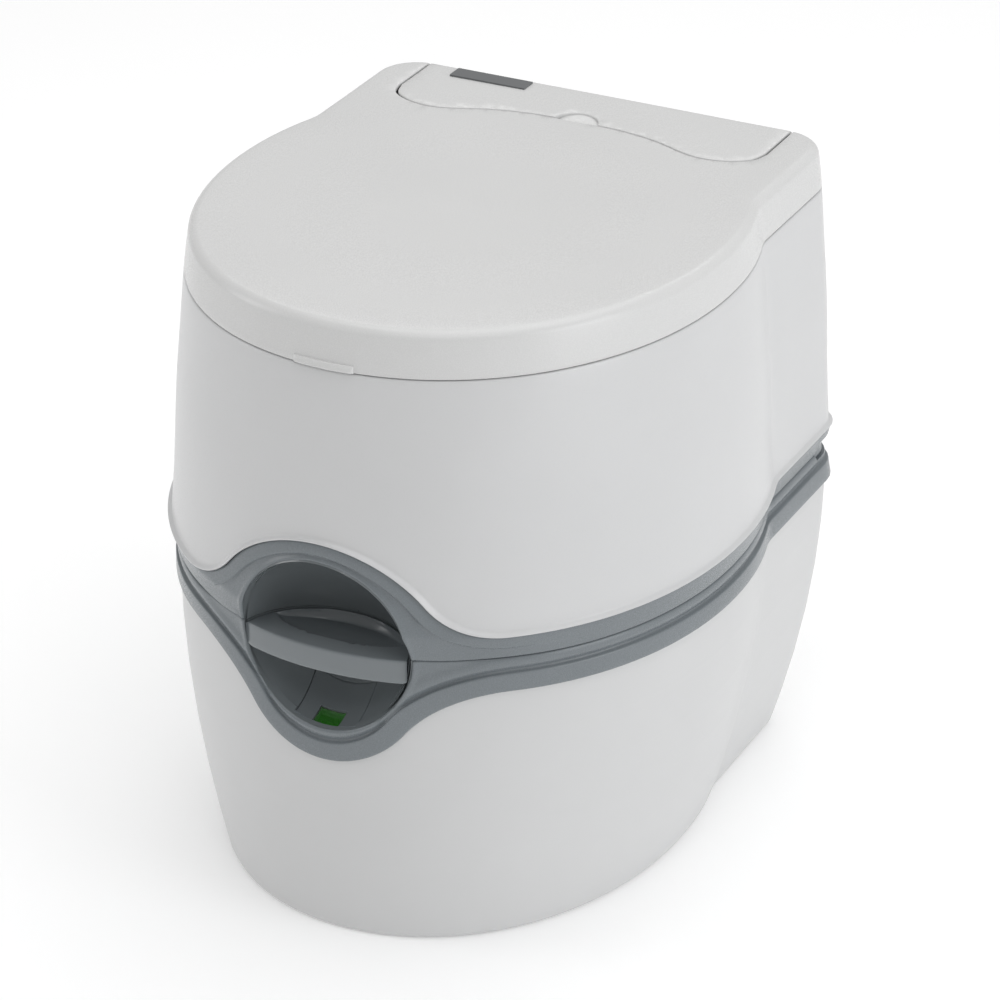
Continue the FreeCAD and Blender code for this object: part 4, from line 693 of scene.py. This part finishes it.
# ---------------------------------------------------------------------------
# Pull handle
# ---------------------------------------------------------------------------
HANDLE_HALF = 57.8
HANDLE_INSET = 1.6       # its front face stands this far behind the trim's
HANDLE_LOW, HANDLE_HIGH = SPLIT - 18.2, SPLIT - 0.8
HANDLE_CORNER = 4.0      # radius of the front face's lower corners
HOLLOW = (50.0, 22.0, 6.6)       # half length, half width and depth of the finger hollow
HOLLOW_Y = -178.0
HOLLOW_RIM = 1.3         # rim left standing behind the hollow


def handle_top(x, y, rear):
    """Height of the handle's top, hollowed for the fingers up to a thin rim at its rear."""
    back = min(y - HOLLOW_Y, 0.0) / HOLLOW[1]
    depth = HOLLOW[2] * math.sqrt(max(1 - (x / HOLLOW[0]) ** 2 - back ** 2, 0.0))
    wall = max(rear - HOLLOW_RIM - y, 0.0)
    depth = min(depth, math.sqrt(wall) * 2.6 + 0.6 * wall)
    return HANDLE_HIGH - depth


def handle():
    """Lens-shaped handle: curved front face, eased edges and a finger hollow on top."""
    rows = []
    count = 96
    for i in range(count + 1):
        x = HANDLE_HALF * math.sin(math.pi / 2 * (2 * i / count - 1))
        front = front_y(x, body_plan(SPLIT), -HANDLE_INSET)
        rear = DISH_Y + 53.8 * math.sqrt(max(1 - (x / 58.8) ** 2, 0.0))
        ease = min(1.0, max(rear - front, 0.4) / 8.0)
        reach = max(abs(x) - (HANDLE_HALF - HANDLE_CORNER), 0.0)
        low = HANDLE_LOW + HANDLE_CORNER - math.sqrt(HANDLE_CORNER ** 2 - reach ** 2)
        row = [(rear, low + 1.0), (rear - 0.5 * ease, low + 0.2), (rear - 1.6 * ease, low)]
        row += [(mix(rear, front, 0.5), low)]
        row += [(front + 2.4 * ease, low), (front + 1.0 * ease, low + 0.3), (front + 0.3 * ease, low + 0.9),
                (front, low + 2.0)]
        row += [(front, mix(low, HANDLE_HIGH, share)) for share in (0.35, 0.55, 0.75)]
        row += [(front, HANDLE_HIGH - 1.5), (front + 0.15 * ease, HANDLE_HIGH - 0.8),
                (front + 0.5 * ease, HANDLE_HIGH - 0.25), (front + 1.2 * ease, HANDLE_HIGH)]
        first, last = front + 2.2 * ease, rear - 0.3
        samples = 44
        for k in range(samples + 1):
            y = mix(first, last, math.sin(math.pi / 2 * k / samples))
            row.append((y, handle_top(x, y, rear)))
        row.append((rear - 0.08, HANDLE_HIGH - 0.1))
        row.append((rear, HANDLE_HIGH - 0.4))
        rows.append([(x, y, z) for y, z in row])
    cols = len(rows[0])
    faces = grid_faces(len(rows), cols, False, True)
    faces.append(tuple(range(cols)))
    faces.append(tuple(range(count * cols, (count + 1) * cols)))
    return piece("valve_handle_skin", flat_points(rows), faces, "valve_slide", "handle_plastic",
                 ["valve_handle"])


# ---------------------------------------------------------------------------
# Lid and rear cover
# ---------------------------------------------------------------------------
EDGE_ROUND = 6.2         # radius of the top edge
CROWN = 0.9              # the top is this much lower at its rim than in the middle
CAP_WALL = 3.0
HINGE = (212.2, 419.2)   # depth and height of the hinge line of the lid and the rear cover
KNUCKLE = 4.8            # radius of their knuckles
LID_KNUCKLE = (144.0, 152.0)
COVER_KNUCKLE = (118.6, 136.6)
COVER_HALF = 137.0       # half width of the rear cover
COVER_GAP = 1.6          # gap between the rear cover and the lid
NOTCH_Y, NOTCH = 157.4, 16.0     # centre and radius of the finger notch
# right half of the rear cover's front edge
COVER_SIDE = ((137.0, 166.0), (133.0, 153.0), (122.0, 144.2), (109.0, 140.2), (97.0, 140.0), (85.0, 143.4),
              (72.0, 149.0), (58.0, 153.9), (42.0, 157.2), (22.0, 159.3))


def crown(x, y):
    """Height of the gently domed top."""
    return LID_TOP - CROWN * min((x / 178.0) ** 2 + (y / 212.0) ** 2, 1.3)


def cap_strip(stations, low_of):
    """Rows of the cap's wall and its rounded top edge, from the bottom to the flat top."""
    rows = []
    for lift in (0.0, 3.0, 8.0, 14.0):
        row = []
        for s in stations:
            y = plan_xy(s, body_plan(SEAM))[1]
            z = min(low_of(y) + lift, LID_TOP - EDGE_ROUND - 4.0)
            row.append(plan_xy(s, body_plan(z)) + (z,))
        rows.append(row)
    for angle in range(0, 91, 10):
        turn = math.radians(angle)
        inset = EDGE_ROUND * (1 - math.cos(turn))
        drop = EDGE_ROUND * (1 - math.sin(turn))
        row = []
        for s in stations:
            x, y = plan_xy(s, body_plan(LID_TOP - drop), -inset)
            row.append((x, y, crown(x, y) - drop))
        rows.append(row)
    return rows


def spline(points, pieces):
    """Points of a smooth curve through the given points."""
    padded = [points[0]] + list(points) + [points[-1]]
    line = []
    for a, b, c, d in zip(padded, padded[1:], padded[2:], padded[3:]):
        for i in range(pieces):
            t = i / pieces
            line.append(tuple(
                0.5 * (2 * b[k] + (c[k] - a[k]) * t + (2 * a[k] - 5 * b[k] + 4 * c[k] - d[k]) * t ** 2
                       + (3 * b[k] - a[k] - 3 * c[k] + d[k]) * t ** 3) for k in (0, 1)))
    line.append(tuple(points[-1]))
    return line


def crease(grow):
    """Front edge of the rear cover from its right side to its left side, moved outwards."""
    right = []
    for x, y in COVER_SIDE:
        outward = smooth((x - 109.0) / 28.0)
        right.append((x + grow * outward, y - grow * (1.0 - 0.6 * outward)))
    return spline(right + [(-x, y) for x, y in right[::-1]], 5)


def fill_top(boundary, spacing=8.0):
    """Triangles over a closed plan boundary, on the domed top."""
    xs = [p[0] for p in boundary]
    ys = [p[1] for p in boundary]
    inner = []
    nx = int((max(xs) - min(xs)) / spacing)
    ny = int((max(ys) - min(ys)) / spacing)
    for j in range(ny + 1):
        for i in range(nx + 1):
            x = min(xs) + spacing * (i + 0.5 * (j % 2))
            y = min(ys) + spacing * j
            clear = min(math.hypot(x - a, y - b) for a, b in boundary)
            if inside(boundary, x, y) and clear > 0.55 * spacing:
                inner.append((x, y))
    plan = [Vector(p) for p in boundary + inner]
    loop = [(i, (i + 1) % len(boundary)) for i in range(len(boundary))]
    points, _, faces, _, _, _ = delaunay_2d_cdt(plan, loop, [], 1, 1e-4)
    return [(p.x, p.y, crown(p.x, p.y)) for p in points], [tuple(f) for f in faces]


def inside(boundary, x, y):
    """Is a point inside a closed outline?"""
    odd = False
    for (x0, y0), (x1, y1) in zip(boundary, boundary[1:] + boundary[:1]):
        if (y0 > y) != (y1 > y) and x < x0 + (y - y0) * (x1 - x0) / (y1 - y0):
            odd = not odd
    return odd


def rear_wall(x):
    """Depth of the lid's and rear cover's rear wall at x."""
    _, _, block, rear = body_plan(SEAM)
    reach = max(abs(x) - block + CORNER, 0.0)
    return rear - CORNER + math.sqrt(CORNER ** 2 - reach ** 2)


def barrel(span, side):
    """Hinge knuckle: a closed cylinder along X with eased ends, kept inside the rear wall."""
    x0, x1 = sorted(side * x for x in span)
    y, z = HINGE
    ease = 0.5
    steps = 8
    count = 32
    rings = [(x0, KNUCKLE - ease)]
    rings += [(mix(x0 + ease, x1 - ease, i / steps), KNUCKLE) for i in range(steps + 1)]
    rings += [(x1, KNUCKLE - ease)]
    points = []
    for x, r in rings:
        wall = rear_wall(x) - 0.1
        for i in range(count):
            turn = 2 * math.pi * i / count
            points.append((x, min(y + r * math.cos(turn), wall), z + r * math.sin(turn)))
    faces = grid_faces(len(rings), count, False, True)
    faces.append(tuple(range(count)))
    faces.append(tuple(range((len(rings) - 1) * count, len(rings) * count)))
    return points, faces


def cap_piece(name, rows, outline, extra, body, slot, nodes):
    """Sheet made of a rounded strip and a top, thickened to a shell; extra closed lumps join it."""
    points = flat_points(rows)
    faces = grid_faces(len(rows), len(rows[0]), False, False)
    top_points, top_faces = fill_top(outline)
    faces += [tuple(i + len(points) for i in face) for face in top_faces]
    points += top_points
    obj = piece(name, points, faces, body, slot, nodes, 60.0)
    up = sum(p.normal.z for p in obj.data.polygons)
    if up < 0:
        obj.data.flip_normals()
    add_modifier(obj, "SOLIDIFY", thickness=CAP_WALL * MM, offset=-1.0, use_even_offset=True)
    add_modifier(obj, "BEVEL", width=0.9 * MM, segments=3, limit_method="ANGLE",
                 angle_limit=math.radians(50.0), harden_normals=True)
    bake(obj)
    bm = bmesh.new()
    bm.from_mesh(obj.data)
    for lump_points, lump_faces in extra:
        verts = [bm.verts.new(tuple(c * MM for c in p)) for p in lump_points]
        for face in lump_faces:
            bm.faces.new([verts[i] for i in face]).smooth = True
    bmesh.ops.recalc_face_normals(bm, faces=bm.faces)
    for edge in bm.edges:
        edge.smooth = edge.calc_face_angle(0.0) < math.radians(38.0)
    bm.to_mesh(obj.data)
    bm.free()
    return obj


def bake(obj):
    """Replace an object's mesh by its shape with the modifiers."""
    bpy.context.view_layer.update()
    shape = bpy.data.meshes.new_from_object(obj.evaluated_get(bpy.context.evaluated_depsgraph_get()))
    obj.modifiers.clear()
    obj.data = shape


def lid_low(y):
    """Bottom of the lid's wall: it steps up behind the hinge line."""
    return mix(SEAM - 0.3, HINGE[1] + 0.4, smooth((y - 207.0) / 5.0))


def lid():
    """Lid: dome over the seat with two wings beside the rear cover."""
    right = [s for s in HALF_RING if s[0] != "rear" or s[1] >= COVER_HALF + COVER_GAP]
    stations = [(zone, value, -1) for zone, value, _ in right[::-1]] + right[1:]
    rows = cap_strip(stations, lid_low)
    rim = [(x, y) for x, y, _ in rows[-1]]
    edge = crease(COVER_GAP)
    side = COVER_HALF + COVER_GAP
    edge[0], edge[-1] = (side, edge[0][1]), (-side, edge[-1][1])
    ends = [[(side, mix(rim[-1][1], edge[0][1], i / 8)) for i in range(1, 8)]]
    ends.append([(-x, y) for x, y in ends[0][::-1]])
    outline = rim + ends[0] + edge + ends[1]
    lumps = [barrel(LID_KNUCKLE, 1), barrel(LID_KNUCKLE, -1)]
    return cap_piece("lid_skin", rows, outline, lumps, "lid_body", "lid_plastic", ["lid"])


def rear_cover():
    """Service cover with a finger hollow in the middle of its front edge."""
    right = [s for s in HALF_RING if s[0] == "rear" and s[1] <= COVER_HALF]
    stations = right[:-1] + [(zone, value, -1) for zone, value, _ in right[::-1]]
    stations = stations[::-1]
    rows = cap_strip(stations, lambda y: HINGE[1] + 0.4)
    rim = [(x, y) for x, y, _ in rows[-1]]
    edge = crease(0.0)
    front = [p for p in edge if p[0] > NOTCH]
    start = math.asin(min((edge[len(edge) // 2][1] - NOTCH_Y) / NOTCH, 1.0))
    notch = []
    for i in range(25):
        turn = mix(start, math.pi - start, i / 24)
        notch.append((NOTCH * math.cos(turn), NOTCH_Y + NOTCH * math.sin(turn)))
    front = front + notch + [(-x, y) for x, y in front[::-1]]
    sides = [(COVER_HALF, mix(rim[-1][1], front[0][1], i / 7)) for i in range(1, 7)]
    outline = rim + sides + front + [(-x, y) for x, y in sides[::-1]]
    lumps = [barrel(COVER_KNUCKLE, 1), barrel(COVER_KNUCKLE, -1), notch_floor()]
    return cap_piece("rear_cover_skin", rows, outline, lumps, "service_cover", "lid_plastic",
                     ["rear_cover"])


def notch_floor():
    """Sloping floor of the finger hollow, a closed plate under the notch."""
    radius = NOTCH + 1.2
    front = NOTCH_Y + 1.6
    rim = []
    for i in range(25):
        turn = mix(0.1, math.pi - 0.1, i / 24)
        rim.append((radius * math.cos(turn), NOTCH_Y + radius * math.sin(turn)))
    plan = [(radius, front)] + [p for p in rim if p[1] > front] + [(-radius, front)]
    slope = 0.2
    points = []
    for drop in (0.0, 1.4):
        for x, y in plan:
            points.append((x, y, crown(x, y) - 4.0 + slope * (y - front) - drop))
    count = len(plan)
    faces = [tuple(range(count)), tuple(range(2 * count - 1, count - 1, -1))]
    for i in range(count):
        j = (i + 1) % count
        faces.append((i, j, count + j, count + i))
    return points, faces


# ---------------------------------------------------------------------------
# Finger tab of the lid
# ---------------------------------------------------------------------------
TAB_HALF = 21.0


def lid_tab():
    """Thin ledge at the middle of the lid's front edge, tapering out at both ends."""
    section = ((0.2, 4.9), (1.2, 4.4), (2.1, 3.2), (2.4, 1.9), (2.2, 0.9), (1.6, 0.3), (0.8, 0.0),
               (-1.2, 0.0), (-1.4, 2.4), (-1.2, 4.9))
    rows = []
    count = 40
    for i in range(count + 1):
        x = TAB_HALF * math.sin(math.pi / 2 * (2 * i / count - 1))
        ease = math.sqrt(max(1 - (x / TAB_HALF) ** 8, 0.02))
        row = []
        for out, lift in section:
            z = SEAM - 0.5 + lift
            row.append((x, front_y(x, body_plan(SEAM), out * ease if out > 0 else out), z))
        rows.append(row)
    cols = len(section)
    faces = grid_faces(len(rows), cols, False, True)
    faces.append(tuple(range(cols)))
    faces.append(tuple(range(count * cols, (count + 1) * cols)))
    return piece("lid_tab_skin", flat_points(rows), faces, "lid_body", "lid_plastic", ["lid_tab"])


upper_shell()
trim("upper_trim_skin", UPPER_WAVE, SPLIT + SPLIT_GAP, body_plan, UPPER_STEP[:UPPER_ROWS], UPPER_LIP,
     "upper_section", ["upper_trim"])
trim("lower_trim_skin", LOWER_WAVE, SPLIT - LOWER_DROP, trim_plan, LOWER_STEP[:LOWER_ROWS], LOWER_LIP,
     "lower_section", ["lower_trim"])
recess_front()
recess("upper_recess_skin", 90.4, 269.6, "upper_section", ["upper_recess"])
handle()
lid()
rear_cover()
lid_tab()


# ---------------------------------------------------------------------------
# CAD parts that stay: eased edges
# ---------------------------------------------------------------------------
EASED = ("latch_lever", "badge_plate", "fill_cap", "pump_knob", "vent_button", "spout_cap",
         "indicator_flag")
for name in EASED:
    add_modifier(frame["nodes"][name], "BEVEL", width=0.25 * MM, segments=2, limit_method="ANGLE",
                 angle_limit=math.radians(50.0))


# ---------------------------------------------------------------------------
# Floor, light and camera
# ---------------------------------------------------------------------------
def floor():
    """Plain pale floor."""
    mesh = bpy.data.meshes.new("floor")
    half = 14.0
    corners = [(-half, -half, 0), (half, -half, 0), (half, half, 0), (-half, half, 0)]
    mesh.from_pydata(corners, [], [(0, 1, 2, 3)])
    obj = bpy.data.objects.new("floor", mesh)
    bpy.context.scene.collection.objects.link(obj)
    material = bpy.data.materials.new("floor")
    material.use_nodes = True
    shader = material.node_tree.nodes["Principled BSDF"]
    shader.inputs["Base Color"].default_value = (0.86, 0.86, 0.86, 1.0)
    shader.inputs["Roughness"].default_value = 0.9
    shader.inputs["Specular IOR Level"].default_value = 0.1
    shader.inputs["Emission Color"].default_value = (1.0, 1.0, 1.0, 1.0)
    shader.inputs["Emission Strength"].default_value = 0.22
    mesh.materials.append(material)


def area_light(name, place, target, size, power, colour=(1.0, 1.0, 1.0)):
    """Soft rectangular light aimed at a point."""
    data = bpy.data.lights.new(name, "AREA")
    data.shape = "RECTANGLE"
    data.size, data.size_y = size
    data.energy = power
    data.color = colour
    obj = bpy.data.objects.new(name, data)
    bpy.context.scene.collection.objects.link(obj)
    obj.location = place
    obj.rotation_euler = (Vector(target) - Vector(place)).to_track_quat("-Z", "Y").to_euler()


def lights():
    """Soft studio light: even surroundings, a big panel above and smaller ones round the object."""
    world = bpy.data.worlds.new("studio")
    world.use_nodes = True
    background = world.node_tree.nodes["Background"]
    background.inputs["Color"].default_value = (1.0, 1.0, 1.0, 1.0)
    background.inputs["Strength"].default_value = 0.45
    bpy.context.scene.world = world
    area_light("panel_above", (0.3, 0.3, 3.2), (0.0, 0.0, 0.3), (3.0, 3.0), 46.0)
    area_light("panel_right", (3.0, -0.4, 1.0), (0.0, 0.0, 0.25), (1.6, 2.0), 27.0, (0.97, 0.985, 1.0))
    area_light("panel_left", (-2.6, -1.2, 1.2), (0.0, 0.0, 0.25), (1.2, 1.6), 13.0)
    area_light("panel_front", (1.1, -1.9, 3.0), (0.0, 0.0, 0.25), (2.2, 0.3), 9.0)
    area_light("strip_rear", (-0.6, 2.2, 2.3), (0.0, 0.0, 0.4), (2.4, 0.25), 7.0)


def camera():
    """Camera at the viewpoint of the reference view."""
    yaw, pitch, roll = (math.radians(a) for a in (26.133, 27.381, 0.307))
    back = Vector((math.sin(yaw) * math.cos(pitch), -math.cos(yaw) * math.cos(pitch), math.sin(pitch)))
    level = Vector((math.cos(yaw), math.sin(yaw), 0.0))
    up = back.cross(level)
    right = math.cos(roll) * level + math.sin(roll) * up
    top = -math.sin(roll) * level + math.cos(roll) * up
    data = bpy.data.cameras.new("camera")
    data.lens = 156.56
    data.sensor_width = 36.0
    data.clip_end = 60.0
    obj = bpy.data.objects.new("camera", data)
    bpy.context.scene.collection.objects.link(obj)
    axes = Matrix((right, top, back)).transposed().to_4x4()
    axes.translation = Vector((1.16548, -2.33045, 1.57788))
    obj.matrix_world = axes
    bpy.context.scene.camera = obj


floor()
lights()
camera()
bpy.context.scene.view_settings.view_transform = "Standard"
